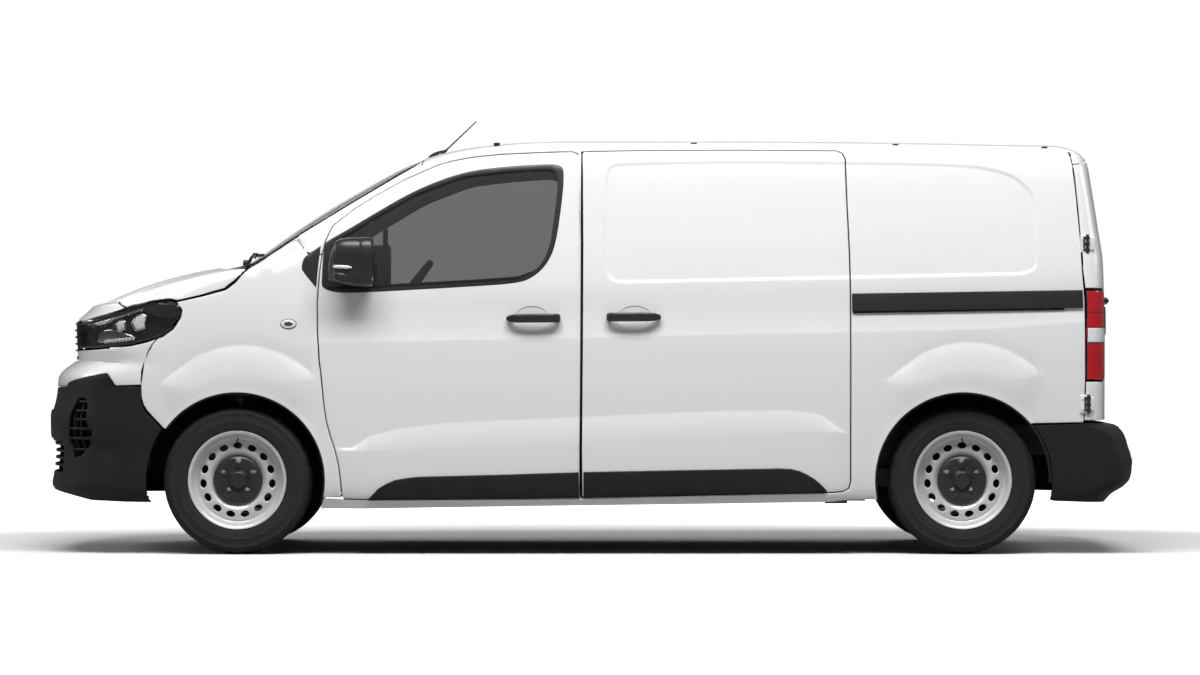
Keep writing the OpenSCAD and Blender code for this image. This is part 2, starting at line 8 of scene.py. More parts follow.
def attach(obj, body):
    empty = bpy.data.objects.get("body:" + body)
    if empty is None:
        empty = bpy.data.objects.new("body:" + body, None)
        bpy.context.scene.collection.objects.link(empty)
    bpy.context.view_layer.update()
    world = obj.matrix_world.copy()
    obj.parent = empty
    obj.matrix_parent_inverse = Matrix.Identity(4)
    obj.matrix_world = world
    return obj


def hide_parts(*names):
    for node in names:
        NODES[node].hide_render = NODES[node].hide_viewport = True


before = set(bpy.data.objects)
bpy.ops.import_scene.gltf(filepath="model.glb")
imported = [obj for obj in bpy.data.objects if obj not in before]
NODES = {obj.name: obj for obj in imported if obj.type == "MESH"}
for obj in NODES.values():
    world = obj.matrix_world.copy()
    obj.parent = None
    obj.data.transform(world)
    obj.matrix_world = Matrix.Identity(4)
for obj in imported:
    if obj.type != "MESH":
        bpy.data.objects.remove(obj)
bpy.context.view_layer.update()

MM = 0.001

# =============================================================================
# Body surface: the same tables as the frame's body, in millimetres, joined by
# smooth monotone curves
# =============================================================================
class Tab:
    def __init__(self, pts):
        p = np.array(pts, float); self.x = p[:, 0]; self.y = p[:, 1]
        h = np.diff(self.x); d = np.diff(self.y) / h
        m = np.zeros(len(p)); m[0] = d[0]; m[-1] = d[-1]
        for i in range(1, len(p) - 1):
            if d[i - 1] * d[i] > 0:
                w1 = 2 * h[i] + h[i - 1]; w2 = h[i] + 2 * h[i - 1]
                m[i] = (w1 + w2) / (w1 / d[i - 1] + w2 / d[i])
        self.m = m
    def __call__(self, q):
        q = np.clip(np.asarray(q, float), self.x[0], self.x[-1])
        i = np.clip(np.searchsorted(self.x, q, side="right") - 1, 0, len(self.x) - 2)
        h = self.x[i + 1] - self.x[i]; t = (q - self.x[i]) / h
        return ((2 * t**3 - 3 * t**2 + 1) * self.y[i] + (t**3 - 2 * t**2 + t) * h * self.m[i]
                + (-2 * t**3 + 3 * t**2) * self.y[i + 1] + (t**3 - t**2) * h * self.m[i + 1])

FRONT = Tab([[200,-2240],[226,-2300],[255,-2400],[283,-2480],[311,-2491],[340,-2484],
  [480,-2472],[508,-2484],[536,-2490],[620,-2491],[650,-2484],[680,-2475],
  [735,-2465],[790,-2461],[818,-2447],[846,-2414],[874,-2378],[900,-2380],
  [1000,-2384],[1040,-2384],[1064,-2362],[1092,-2328],[1126,-2290],[1136,-2250],[1150,-2210],
  [1170,-2160],[1193,-2103],[1212,-2048],[1230,-1992],[1245,-1936],[1260,-1878],
  [1274,-1816],[1286,-1750],[1297,-1684],[1308,-1632],[1320,-1588],[1346,-1543],
  [1412,-1449],[1478,-1355],[1539,-1262],[1597,-1168],[1652,-1074],[1706,-980],
  [1756,-886],[1796,-793],[1826,-700],[1847,-605],[1862,-511],[1872,-418],
  [1879,-300],[1885,-120],[1888,150]])
REAR = Tab([[200,2330],[226,2360],[270,2400],[301,2451],[338,2483],[390,2491],
  [437,2488],[479,2474],[526,2460],[563,2437],[584,2398],[594,2360],[1000,2360],
  [1306,2356],[1490,2334],[1710,2304],[1783,2293],[1810,2284],[1828,2271],
  [1848,2248],[1864,2220],[1876,2188],[1884,2150],[1888,2100]])
WID = Tab([[200,905],[226,912],[260,930],[300,940],[400,948],[520,953],[640,957],
  [760,960],[900,960],[1000,957],[1100,950],[1200,938],[1300,922],[1400,903],
  [1500,882],[1600,860],[1700,836],[1760,818],[1800,797],[1828,765],[1852,705],
  [1868,622],[1879,500],[1885,340],[1888,120]])
AFT = Tab([[200,560],[850,560],[900,500],[1040,450],[1150,420],[1250,340],[1320,300],[1900,300]])
PFT = Tab([[200,3],[1100,3],[1300,2.6],[1900,2.6]])
ART = Tab([[200,190],[584,190],[594,130],[1900,130]])
FALL = Tab([[-3000,0],[600,0],[1000,1.5],[1300,4],[1600,9],[1900,15],[2200,20],[2500,24]])
FX, RX, AXZ = -1586.5, 1688.5, 335.0

def ramp(h): return np.clip((h - 1300) / 450.0, 0, 1)
def slim(x): return 1 - 0.012 * ((x - 200) / 1700.0) ** 2
def fall(x, h): return FALL(x) * ramp(h)
def h_of(x, z):
    h = np.asarray(z, float)
    for _ in range(3): h = z + fall(x, h)
    return h
def W(x, h):
    "half width of the body at length x and level h"
    x = np.asarray(x, float); h = np.asarray(h, float)
    w = WID(h); a = AFT(h); p = PFT(h); xn = FRONT(h)
    u = np.clip((xn + a - x) / a, 0, 1); w = w * (1 - u ** p) ** (1 / p)
    ar = ART(h); xr = REAR(h)
    u = np.clip((x - xr + ar) / ar, 0, 1); w = w * (1 - u ** 4) ** 0.25
    return w * slim(x)

def sstep(t, a, b):
    t = np.clip((np.asarray(t, float) - a) / (b - a), 0, 1); return t * t * (3 - 2 * t)

# ---- parameter surfaces -----------------------------------------------------
def normal_of(surf, a, b, e=1.5):
    da = surf.pos(a + e, b) - surf.pos(a - e, b)
    db = surf.pos(a, b + e) - surf.pos(a, b - e)
    n = np.cross(da, db); l = np.linalg.norm(n, axis=1); l[l == 0] = 1
    return n / l[:, None]

class Side:
    "left side of the body: a is the length x, b the girth from the sill up"
    H = np.arange(200, 1888.01, 1.0)
    S = np.concatenate([[0], np.cumsum(np.hypot(np.diff(H), np.diff(WID(H))))])
    def pos(self, a, b):
        a = np.asarray(a, float); h = np.interp(b, self.S, self.H)
        return np.stack([a, -W(a, h), h - fall(a, h)], 1)
    def ab(self, p):
        p = np.array(p, float); h = h_of(p[:, 0], p[:, 1])
        return np.stack([p[:, 0], np.interp(h, self.H, self.S)], 1)

class Ring:
    "nose or tail: a is the way round from the centre plane, b the girth along the centre line"
    def __init__(self, tail):
        self.tail = tail
        self.H = np.arange(200, 1888.01, 4.0)
        prof = REAR(self.H) if tail else FRONT(self.H)
        self.S = np.concatenate([[0], np.cumsum(np.hypot(np.diff(self.H), np.diff(prof)))])
        self.L = np.arange(0, 2600.0, 4.0)
        th = np.linspace(0, math.pi / 2, 240)
        TX, TY = [], []
        for h in self.H:
            w = float(WID(h))
            if tail:
                ar = float(ART(h)); xe = float(REAR(h)) - ar
                x = xe + ar * np.cos(th) ** 0.5; y = w * np.sin(th) ** 0.5
                x = np.append(x, xe - 2400); y = np.append(y, w)
                # samples crowd at the corner, so the flat part gets its own
                f = np.linspace(0, 0.999, 120)
                x2 = xe + ar * (1 - f ** 4) ** 0.25
                x = np.concatenate([x2, x[np.sin(th.tolist() + [math.pi / 2]) ** 0.5 > 0.9991]])
                y = np.concatenate([w * f, y[np.sin(th.tolist() + [math.pi / 2]) ** 0.5 > 0.9991]])
            else:
                a = float(AFT(h)); p = float(PFT(h)); xs = float(FRONT(h)) + a
                x = xs - a * np.cos(th) ** (2 / p); y = w * np.sin(th) ** (2 / p)
                f = np.linspace(0, 0.8, 100)
                x2 = xs - a * (1 - f ** p) ** (1 / p); k = y > w * 0.803
                x = np.concatenate([x2, x[k], xs + np.linspace(20, 2400, 60)])
                y = np.concatenate([w * f, y[k], np.full(60, w)])
            y = y * slim(x)
            l = np.concatenate([[0], np.cumsum(np.hypot(np.diff(x), np.diff(y)))])
            TX.append(np.interp(self.L, l, x)); TY.append(np.interp(self.L, l, y))
        self.TX = np.array(TX); self.TY = np.array(TY)
    def h(self, b): return np.interp(b, self.S, self.H)
    def b(self, h): return np.interp(h, self.H, self.S)
    def pos(self, a, b):
        a = np.asarray(a, float); h = self.h(b)
        i = np.clip((h - 200) / 4.0, 0, len(self.H) - 1.001); j = np.clip(np.abs(a) / 4.0, 0, len(self.L) - 1.001)
        i0 = i.astype(int); j0 = j.astype(int); u = i - i0; v = j - j0
        def g(T): return ((1 - u) * ((1 - v) * T[i0, j0] + v * T[i0, j0 + 1]) + u * ((1 - v) * T[i0 + 1, j0] + v * T[i0 + 1, j0 + 1]))
        x = g(self.TX); y = g(self.TY) * np.sign(a) * (1 if self.tail else -1)
        return np.stack([x, y, h - fall(x, h)], 1)
    def ab(self, p):
        "side-view points (x, z) on the side where a > 0"
        out = []
        for x, z in p:
            h = float(h_of(x, z)); i = min(int(round((h - 200) / 4)), len(self.H) - 1); i = max(i, 0)
            r = self.TX[i]
            l = np.interp(-x, -r, self.L) if self.tail else np.interp(x, r, self.L)
            out.append([l, float(self.b(h))])
        return np.array(out)
    def aby(self, p):
        "points (y, h) with y the distance from the centre plane"
        out = []
        for y, h in p:
            i = max(0, min(int(round((h - 200) / 4)), len(self.H) - 1))
            out.append([np.interp(y, self.TY[i], self.L), float(self.b(h))])
        return np.array(out)

class Roof:
    "top of the body: a is the length x, b is y"
    def pos(self, a, b):
        x = np.asarray(a, float); y = np.abs(np.asarray(b, float))
        lo = np.full(x.shape, 1000.0); hi = np.full(x.shape, 1888.0)
        def ok(h): return (FRONT(h) < x) & (REAR(h) > x) & (W(x, h) >= y)
        top = ok(hi)
        for _ in range(28):
            m = (lo + hi) / 2; k = ok(m); lo = np.where(k, m, lo); hi = np.where(k, hi, m)
        h = np.where(top, 1888.0, lo)
        return np.stack([x, np.asarray(b, float), h - fall(x, h)], 1)

SIDE, NOSE, TAIL, ROOF = Side(), Ring(False), Ring(True), Roof()

# ---- polygon helpers --------------------------------------------------------
def dens(p, step=12.0, closed=True):
    p = np.array(p, float); out = []
    n = len(p)
    for i in range(n if closed else n - 1):
        q = p[(i + 1) % n]; d = np.linalg.norm(q - p[i]); k = max(1, int(math.ceil(d / step)))
        for j in range(k): out.append(p[i] + (q - p[i]) * j / k)
    if not closed: out.append(p[-1])
    return np.array(out)
def smooth(p, n=1, closed=True):
    "rounds the corners of a coarse outline"
    p = np.array(p, float)
    for _ in range(n):
        q = []
        m = len(p)
        for i in range(m if closed else m - 1):
            a, b = p[i], p[(i + 1) % m]; q += [a * 0.75 + b * 0.25, a * 0.25 + b * 0.75]
        if not closed: q = [p[0]] + q[1:-1] + [p[-1]]
        p = np.array(q)
    return p
def area(p): return 0.5 * np.sum(p[:, 0] * np.roll(p[:, 1], -1) - np.roll(p[:, 0], -1) * p[:, 1])
def ccw(p): return p if area(p) > 0 else p[::-1]
def left_shift(p, d):
    "each point of a closed outline moved to its left by d"
    e = np.roll(p, -1, 0) - p; l = np.linalg.norm(e, axis=1); l[l < 1e-9] = 1; e /= l[:, None]
    n = np.stack([-e[:, 1], e[:, 0]], 1); m = n + np.roll(n, 1, 0)
    q = np.sum(m * m, 1); q[q < 0.6] = 0.6
    return p + m * (2 * d / q)[:, None] * 1.0
def offs(p, d):
    "outline grown by d"
    return left_shift(ccw(np.array(p, float)), -d)
def inside(q, p):
    x, y = q[:, 0][:, None], q[:, 1][:, None]
    x0, y0 = p[:, 0][None], p[:, 1][None]; x1, y1 = np.roll(p[:, 0], -1)[None], np.roll(p[:, 1], -1)[None]
    c = ((y0 > y) != (y1 > y))
    with np.errstate(divide="ignore", invalid="ignore"):
        t = x < (x1 - x0) * (y - y0) / (y1 - y0) + x0
    return (np.sum(c & t, 1) % 2) == 1
def seg_dist(q, p, closed=True):
    "distance from points q to the outline p"
    best = np.full(len(q), 1e9); n = len(p)
    for i in range(n if closed else n - 1):
        a = p[i]; b = p[(i + 1) % n]; d = b - a; l = d @ d
        if l == 0: continue
        t = np.clip(((q - a) @ d) / l, 0, 1); r = q - (a + t[:, None] * d)
        best = np.minimum(best, np.hypot(r[:, 0], r[:, 1]))
    return best

def fill(loops, grid, extra=None):
    "triangles over a region whose loops have the material on their left"
    allp = np.concatenate(loops); x0, y0 = allp.min(0); x1, y1 = allp.max(0)
    gx = np.arange(x0 + grid / 2, x1, grid); gy = np.arange(y0 + grid / 2, y1, grid * 0.87)
    X, Y = np.meshgrid(gx, gy); X = X + (np.arange(len(gy)) % 2)[:, None] * grid / 2
    pts = np.stack([X.ravel(), Y.ravel()], 1)
    if extra is not None and len(extra):
        ex = np.array(extra, float)
        kd = KDTree(len(ex))
        for i, p in enumerate(ex): kd.insert((p[0], p[1], 0), i)
        kd.balance()
        pts = np.array([p for p in pts if kd.find((p[0], p[1], 0))[2] > grid * 0.45] or np.zeros((0, 2)))
        pts = np.concatenate([ex, pts.reshape(-1, 2)])
    if len(pts):
        k = np.zeros(len(pts), int)
        for l in loops: k += inside(pts, l)
        pts = pts[k % 2 == 1]
    if len(pts):
        kd = KDTree(len(allp))
        for i, p in enumerate(allp): kd.insert((p[0], p[1], 0), i)
        kd.balance()
        step = np.median(np.linalg.norm(np.diff(loops[0], axis=0), axis=1))
        lim = max(3.0, 0.55 * step)
        pts = np.array([p for p in pts if kd.find((p[0], p[1], 0))[2] > lim] or np.zeros((0, 2))).reshape(-1, 2)
    V = [tuple(p) for p in allp] + [tuple(p) for p in pts]
    E = []; o = 0
    for l in loops:
        n = len(l); E += [(o + i, o + (i + 1) % n) for i in range(n)]; o += n
    ov, _, of, src, _, _ = delaunay_2d_cdt([Vector(v) for v in V], E, [], 0, 1e-6)
    idx = []; V = [np.array(v) for v in V]
    for i, v in enumerate(ov):
        if src[i]: idx.append(src[i][0])
        else: idx.append(len(V)); V.append(np.array([v.x, v.y]))
    V = np.array(V); T = np.array([[idx[k] for k in f] for f in of], int)
    a, b, c = V[T[:, 0]], V[T[:, 1]], V[T[:, 2]]
    ar = (b[:, 0] - a[:, 0]) * (c[:, 1] - a[:, 1]) - (b[:, 1] - a[:, 1]) * (c[:, 0] - a[:, 0])
    T[ar < 0] = T[ar < 0][:, ::-1]; T = T[np.abs(ar) > 1e-6]
    g = V[T].mean(1); k = np.zeros(len(g), int)
    for l in loops: k += inside(g, l)
    return V, T[k % 2 == 1]

def panel(surf, outer, holes=(), t0=0.0, t1=2.0, r=2.5, D=None, grid=28, extra=None, inner_grid=None, roll=3):
    """Closed sheet on a surface: an outline and holes in surface coordinates, from depth t0 to t1,
    with rolled edges of radius r. Returns vertices in mm and faces."""
    loops = [ccw(np.array(outer, float))] + [ccw(np.array(h, float))[::-1] for h in holes]
    r = min(r, (t1 - t0) * 0.5)
    I = [left_shift(l, r) for l in loops]
    def P(ab, depth, disp=True):
        a, b = ab[:, 0], ab[:, 1]; p = surf.pos(a, b); n = normal_of(surf, a, b)
        d = -np.full(len(a), float(depth))
        if D is not None and disp: d = d + D(p[:, 0], p[:, 2], p[:, 1])
        return p + n * d[:, None], n
    V2, T = fill(I, grid, extra)
    nb = sum(len(l) for l in I)
    verts = [P(V2, t0)[0]]; faces = [tuple(t) for t in T]; base = len(V2)
    allI = np.concatenate(I); allO = np.concatenate(loops)
    p0, n0 = P(allI, t0); p1, _ = P(allO, t0); t = p1 - p0
    rings = [np.arange(nb)]
    for k in range(1, roll + 1):
        f = math.pi / 2 * k / roll
        verts.append(p0 + t * math.sin(f) - n0 * (r * (1 - math.cos(f)))); rings.append(np.arange(nb) + base); base += nb
    c = min(1.0, (t1 - t0) * 0.3)
    verts.append(P(allO, t1 - c)[0]); rings.append(np.arange(nb) + base); base += nb
    V3, T3 = fill(I, inner_grid or grid * 1.9)
    verts.append(P(V3, t1)[0]); rings.append(np.arange(nb) + base)
    faces += [(int(a + base), int(c2 + base), int(b + base)) for a, b, c2 in T3]
    for q in range(len(rings) - 1):
        o = 0
        for l in I:
            n = len(l)
            for i in range(n):
                j = (i + 1) % n
                faces.append((int(rings[q][o + i]), int(rings[q + 1][o + i]), int(rings[q + 1][o + j]), int(rings[q][o + j])))
            o += n
    return np.concatenate(verts), faces

# ---- objects ----------------------------------------------------------------
ALL = {}
def mk(name, verts, faces, mat, body="root", slot=None, node=(), sharp=40, smooth_=True, weld=0.0):
    "mesh piece from millimetre coordinates"
    me = bpy.data.meshes.new(name)
    me.from_pydata([tuple(v) for v in (np.array(verts, float) * MM)], [], [tuple(int(i) for i in f) for f in faces])
    if weld:
        bm = bmesh.new(); bm.from_mesh(me); bmesh.ops.remove_doubles(bm, verts=bm.verts, dist=weld * MM)
        bmesh.ops.recalc_face_normals(bm, faces=bm.faces); bm.to_mesh(me); bm.free()
    me.validate()
    ob = bpy.data.objects.new(name, me); bpy.context.scene.collection.objects.link(ob)
    me.materials.append(mat)
    if smooth_:
        me.polygons.foreach_set("use_smooth", [True] * len(me.polygons))
        me.set_sharp_from_angle(angle=math.radians(sharp))
    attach(ob, body)
    if node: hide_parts(*((node,) if isinstance(node, str) else node))
    ALL[name] = ob
    return ob
def mirror(vf):
    v, f = vf; v = np.array(v, float).copy(); v[:, 1] *= -1
    return v, [tuple(x[::-1]) for x in f]
def join(*vfs):
    V, F, o = [], [], 0
    for v, f in vfs:
        V.append(np.array(v, float)); F += [tuple(i + o for i in x) for x in f]; o += len(v)
    return np.concatenate(V), F
def moved(vf, d): return np.array(vf[0], float) + np.array(d, float), vf[1]
def xform(vf, M):
    v = np.array(vf[0], float); M = np.array(M); return v @ M[:3, :3].T + M[:3, 3], vf[1]
def pair(name, vf, mat, bodies=("root", "root"), nodes=(None, None), **k):
    a = mk(name + "_left", vf[0], vf[1], mat, bodies[0], node=nodes[0] or (), **k)
    m = mirror(vf)
    b = mk(name + "_right", m[0], m[1], mat, bodies[1], node=nodes[1] or (), **k)
    return a, b

def lathe(prof, n=96, closed=True, a0=0.0, a1=2 * math.pi, rad=None):
    "profile of (radius, offset along -Y) turned about the Y axis; rad(angle, r, o) may move a point"
    P = np.array(prof, float); m = len(P); V = []; full = abs(a1 - a0 - 2 * math.pi) < 1e-6
    k = n if full else n + 1
    for i in range(k):
        a = a0 + (a1 - a0) * i / n
        for r, o in P:
            if rad: r, o = rad(a, r, o)
            V.append((r * math.cos(a), -o, r * math.sin(a)))
    F = []
    for i in range(n):
        j = (i + 1) % k
        for q in range(m if closed else m - 1):
            s = (q + 1) % m; F.append((i * m + q, i * m + s, j * m + s, j * m + q))
    return np.array(V), F
def rbox(c, s, r=4.0, seg=2):
    "box with rounded edges: centre, sizes"
    bm = bmesh.new(); bmesh.ops.create_cube(bm, size=1.0)
    for v in bm.verts: v.co = Vector((c[0] + v.co.x * s[0], c[1] + v.co.y * s[1], c[2] + v.co.z * s[2]))
    bmesh.ops.bevel(bm, geom=list(bm.edges), offset=min(r, min(s) * 0.45), segments=seg, profile=0.6, affect="EDGES")
    bm.verts.ensure_lookup_table(); bm.verts.index_update()
    v = [tuple(x.co) for x in bm.verts]; f = [tuple(y.index for y in x.verts) for x in bm.faces]; bm.free()
    return np.array(v), f
def tube(path, rad, n=12, caps=True):
    "round bar along a path; rad may be a list"
    P = np.array(path, float); m = len(P); R = np.broadcast_to(np.array(rad, float), (m,)); V, F = [], []
    T = np.gradient(P, axis=0); T /= np.linalg.norm(T, axis=1)[:, None]
    up = np.array([0, 0, 1.0]) if abs(T[0][2]) < 0.9 else np.array([1.0, 0, 0])
    u = np.cross(T[0], up); u /= np.linalg.norm(u)
    for i in range(m):
        u = u - T[i] * (u @ T[i]); u /= np.linalg.norm(u); w = np.cross(T[i], u)
        for k in range(n):
            a = 2 * math.pi * k / n; V.append(P[i] + R[i] * (u * math.cos(a) + w * math.sin(a)))
    for i in range(m - 1):
        for k in range(n):
            l = (k + 1) % n; F.append((i * n + k, i * n + l, (i + 1) * n + l, (i + 1) * n + k))
    if caps: F.append(tuple(range(n))[::-1]); F.append(tuple((m - 1) * n + k for k in range(n)))
    return np.array(V), F
def loft(rings, caps=True):
    "closed rings of equal length joined in order"
    R = [np.array(r, float) for r in rings]; n = len(R[0]); V = np.concatenate(R); F = []
    for i in range(len(R) - 1):
        for k in range(n):
            l = (k + 1) % n; F.append((i * n + k, i * n + l, (i + 1) * n + l, (i + 1) * n + k))
    if caps: F.append(tuple(range(n))[::-1]); F.append(tuple((len(R) - 1) * n + k for k in range(n)))
    return V, F

# =============================================================================
# Materials: each is a node graph with its own grain, wear and bump
# =============================================================================
def material(name, slot, col, rough=0.5, metal=0.0, col2=None, var=(4.0, 0.5), rvar=0.06, bump=None, coat=0.0,
             alpha=1.0, dust=0.0, pattern="noise", sheen=0.0, spec=None, emit=None, trans=0.0, ior=None):
    m = bpy.data.materials.new(name); m.use_nodes = True; nt = m.node_tree; N = nt.nodes; L = nt.links
    N.clear(); out = N.new("ShaderNodeOutputMaterial"); b = N.new("ShaderNodeBsdfPrincipled"); L.new(b.outputs[0], out.inputs[0])
    tc = N.new("ShaderNodeTexCoord"); obj = tc.outputs["Object"]
    nz = N.new("ShaderNodeTexNoise"); nz.inputs["Scale"].default_value = var[0]; nz.inputs["Detail"].default_value = 5
    L.new(obj, nz.inputs["Vector"])
    ramp_ = N.new("ShaderNodeValToRGB"); ramp_.color_ramp.elements[0].position = 0.5 - var[1] * 0.5; ramp_.color_ramp.elements[1].position = 0.5 + var[1] * 0.5
    c2 = col2 or tuple(min(1, c * 0.93) for c in col)
    ramp_.color_ramp.elements[0].color = (*c2, 1); ramp_.color_ramp.elements[1].color = (*col, 1)
    L.new(nz.outputs["Fac"], ramp_.inputs["Fac"]); color = ramp_.outputs["Color"]
    if dust:
        # road dust gathers low down
        sx = N.new("ShaderNodeSeparateXYZ"); L.new(obj, sx.inputs[0])
        mr = N.new("ShaderNodeMapRange"); mr.inputs["From Min"].default_value = 0.75; mr.inputs["From Max"].default_value = 0.15
        mr.inputs["To Min"].default_value = 0; mr.inputs["To Max"].default_value = dust; L.new(sx.outputs["Z"], mr.inputs["Value"])
        n2 = N.new("ShaderNodeTexNoise"); n2.inputs["Scale"].default_value = 9; n2.inputs["Detail"].default_value = 8; L.new(obj, n2.inputs["Vector"])
        mm = N.new("ShaderNodeMath"); mm.operation = "MULTIPLY"; L.new(mr.outputs[0], mm.inputs[0]); L.new(n2.outputs["Fac"], mm.inputs[1])
        mx = N.new("ShaderNodeMixRGB"); mx.inputs["Color2"].default_value = (0.42, 0.38, 0.33, 1); L.new(mm.outputs[0], mx.inputs["Fac"]); L.new(color, mx.inputs["Color1"]); color = mx.outputs["Color"]
    L.new(color, b.inputs["Base Color"])
    if rvar:
        rz = N.new("ShaderNodeTexNoise"); rz.inputs["Scale"].default_value = var[0] * 6; rz.inputs["Detail"].default_value = 6; L.new(obj, rz.inputs["Vector"])
        rr = N.new("ShaderNodeMapRange"); rr.inputs["To Min"].default_value = max(0, rough - rvar); rr.inputs["To Max"].default_value = min(1, rough + rvar)
        L.new(rz.outputs["Fac"], rr.inputs["Value"]); L.new(rr.outputs[0], b.inputs["Roughness"])
    else: b.inputs["Roughness"].default_value = rough
    b.inputs["Metallic"].default_value = metal
    if coat: b.inputs["Coat Weight"].default_value = coat; b.inputs["Coat Roughness"].default_value = 0.06
    if sheen: b.inputs["Sheen Weight"].default_value = sheen
    if spec is not None: b.inputs["Specular IOR Level"].default_value = spec
    if ior: b.inputs["IOR"].default_value = ior
    if trans: b.inputs["Transmission Weight"].default_value = trans
    if alpha < 1: b.inputs["Alpha"].default_value = alpha
    if emit: b.inputs["Emission Color"].default_value = (*emit[:3], 1); b.inputs["Emission Strength"].default_value = emit[3]
    if bump:
        scale, strength = bump
        bp = N.new("ShaderNodeBump"); bp.inputs["Strength"].default_value = strength; bp.inputs["Distance"].default_value = 0.001
        if pattern == "noise":
            t = N.new("ShaderNodeTexNoise"); t.inputs["Scale"].default_value = scale; t.inputs["Detail"].default_value = 3; L.new(obj, t.inputs["Vector"]); h = t.outputs["Fac"]
        elif pattern == "leather":
            t = N.new("ShaderNodeTexVoronoi"); t.inputs["Scale"].default_value = scale; t.feature = "DISTANCE_TO_EDGE"; L.new(obj, t.inputs["Vector"]); h = t.outputs["Distance"]
        elif pattern == "weave":
            w1 = N.new("ShaderNodeTexWave"); w1.inputs["Scale"].default_value = scale; w1.bands_direction = "Y"; L.new(obj, w1.inputs["Vector"])
            w2 = N.new("ShaderNodeTexWave"); w2.inputs["Scale"].default_value = scale; w2.bands_direction = "DIAGONAL"; L.new(obj, w2.inputs["Vector"])
            mu = N.new("ShaderNodeMath"); mu.operation = "MAXIMUM"; L.new(w1.outputs["Fac"], mu.inputs[0]); L.new(w2.outputs["Fac"], mu.inputs[1]); h = mu.outputs[0]
            mc = N.new("ShaderNodeMixRGB"); mc.blend_type = "MULTIPLY"; mc.inputs["Fac"].default_value = 0.35; L.new(color, mc.inputs["Color1"]); L.new(h, mc.inputs["Color2"]); L.new(mc.outputs[0], b.inputs["Base Color"])
        elif pattern == "brushed":
            mp = N.new("ShaderNodeMapping"); mp.inputs["Scale"].default_value = (1, 14, 1); L.new(obj, mp.inputs["Vector"])
            t = N.new("ShaderNodeTexNoise"); t.inputs["Scale"].default_value = scale; t.inputs["Detail"].default_value = 4; L.new(mp.outputs[0], t.inputs["Vector"]); h = t.outputs["Fac"]
        elif pattern == "ribs":
            t = N.new("ShaderNodeTexWave"); t.inputs["Scale"].default_value = scale; t.bands_direction = "Z"; t.wave_profile = "SIN"; L.new(obj, t.inputs["Vector"]); h = t.outputs["Fac"]
        L.new(h, bp.inputs["Height"]); L.new(bp.outputs[0], b.inputs["Normal"])
    return m

M = {}
def mat(key, *a, **k): M[key] = material(key, *a, **k)
mat("paint_white", "body_white", (0.80, 0.81, 0.82), 0.30, col2=(0.775, 0.785, 0.80), var=(1.6, 0.7), rvar=0.03, coat=0.55, bump=(420, 0.035), dust=0.05)
mat("paint_inner", "body_white", (0.72, 0.73, 0.74), 0.45, col2=(0.66, 0.67, 0.68), var=(3, 0.7), rvar=0.05, bump=(260, 0.06), dust=0.12)
mat("trim_textured", "trim_black", (0.0115, 0.012, 0.013), 0.60, col2=(0.008, 0.0085, 0.009), var=(7, 0.6), bump=(1400, 0.35), dust=0.012, spec=0.28)
mat("trim_satin", "trim_black", (0.026, 0.026, 0.027), 0.32, col2=(0.020, 0.020, 0.021), var=(5, 0.6), bump=(700, 0.08))
mat("trim_gloss", "trim_black", (0.006, 0.006, 0.007), 0.10, col2=(0.005, 0.005, 0.005), var=(5, 0.6), rvar=0.03, coat=0.5)
mat("seal_rubber", "trim_black", (0.008, 0.008, 0.008), 0.8, col2=(0.013, 0.013, 0.013), var=(20, 0.6), bump=(600, 0.2), spec=0.2)
mat("glass_tint", "window_glass", (0.05, 0.055, 0.058), 0.02, col2=(0.045, 0.05, 0.053), var=(2, 0.8), rvar=0.008, alpha=0.42, spec=0.6)
mat("glass_screen", "window_glass", (0.05, 0.058, 0.06), 0.02, col2=(0.045, 0.052, 0.055), var=(2, 0.8), rvar=0.008, alpha=0.30, spec=0.6)
mat("lamp_lens", "lamp_clear", (0.06, 0.062, 0.066), 0.03, col2=(0.045, 0.047, 0.05), var=(3, 0.8), rvar=0.01, alpha=0.10, spec=0.6)
mat("lamp_chrome", "lamp_clear", (0.72, 0.73, 0.75), 0.12, metal=1.0, col2=(0.6, 0.61, 0.63), var=(30, 0.7), rvar=0.04, bump=(300, 0.03))
mat("lamp_white", "lamp_clear", (0.78, 0.8, 0.82), 0.22, col2=(0.70, 0.72, 0.74), var=(40, 0.6), bump=(500, 0.1), coat=0.4)
mat("lamp_bezel", "trim_black", (0.02, 0.021, 0.023), 0.28, col2=(0.012, 0.012, 0.013), var=(12, 0.6), bump=(500, 0.05))
mat("lens_red", "lamp_red", (0.62, 0.022, 0.030), 0.10, col2=(0.44, 0.012, 0.018), var=(6, 0.8), rvar=0.04, coat=0.6, bump=(90, 0.10), alpha=0.86)
mat("lens_red_deep", "lamp_red", (0.20, 0.004, 0.008), 0.22, col2=(0.13, 0.003, 0.005), var=(30, 0.8), bump=(150, 0.5), pattern="ribs")
mat("plastic_cab", "cab_plastic", (0.035, 0.036, 0.039), 0.62, col2=(0.028, 0.029, 0.031), var=(6, 0.6), bump=(700, 0.3), pattern="leather")
mat("plastic_cab_light", "cab_plastic", (0.16, 0.165, 0.17), 0.6, col2=(0.13, 0.135, 0.14), var=(6, 0.6), bump=(700, 0.25), pattern="leather")
mat("cloth_seat", "seat_cloth", (0.060, 0.062, 0.068), 0.9, col2=(0.036, 0.037, 0.042), var=(160, 0.5), bump=(260, 0.5), pattern="weave", sheen=0.3)
mat("cloth_bolster", "seat_cloth", (0.028, 0.029, 0.032), 0.85, col2=(0.02, 0.021, 0.023), var=(120, 0.5), bump=(330, 0.45), pattern="weave", sheen=0.2)
mat("chassis_paint", "chassis_metal", (0.035, 0.036, 0.038), 0.55, metal=0.3, col2=(0.06, 0.052, 0.045), var=(9, 0.5), bump=(160, 0.25), dust=0.3)
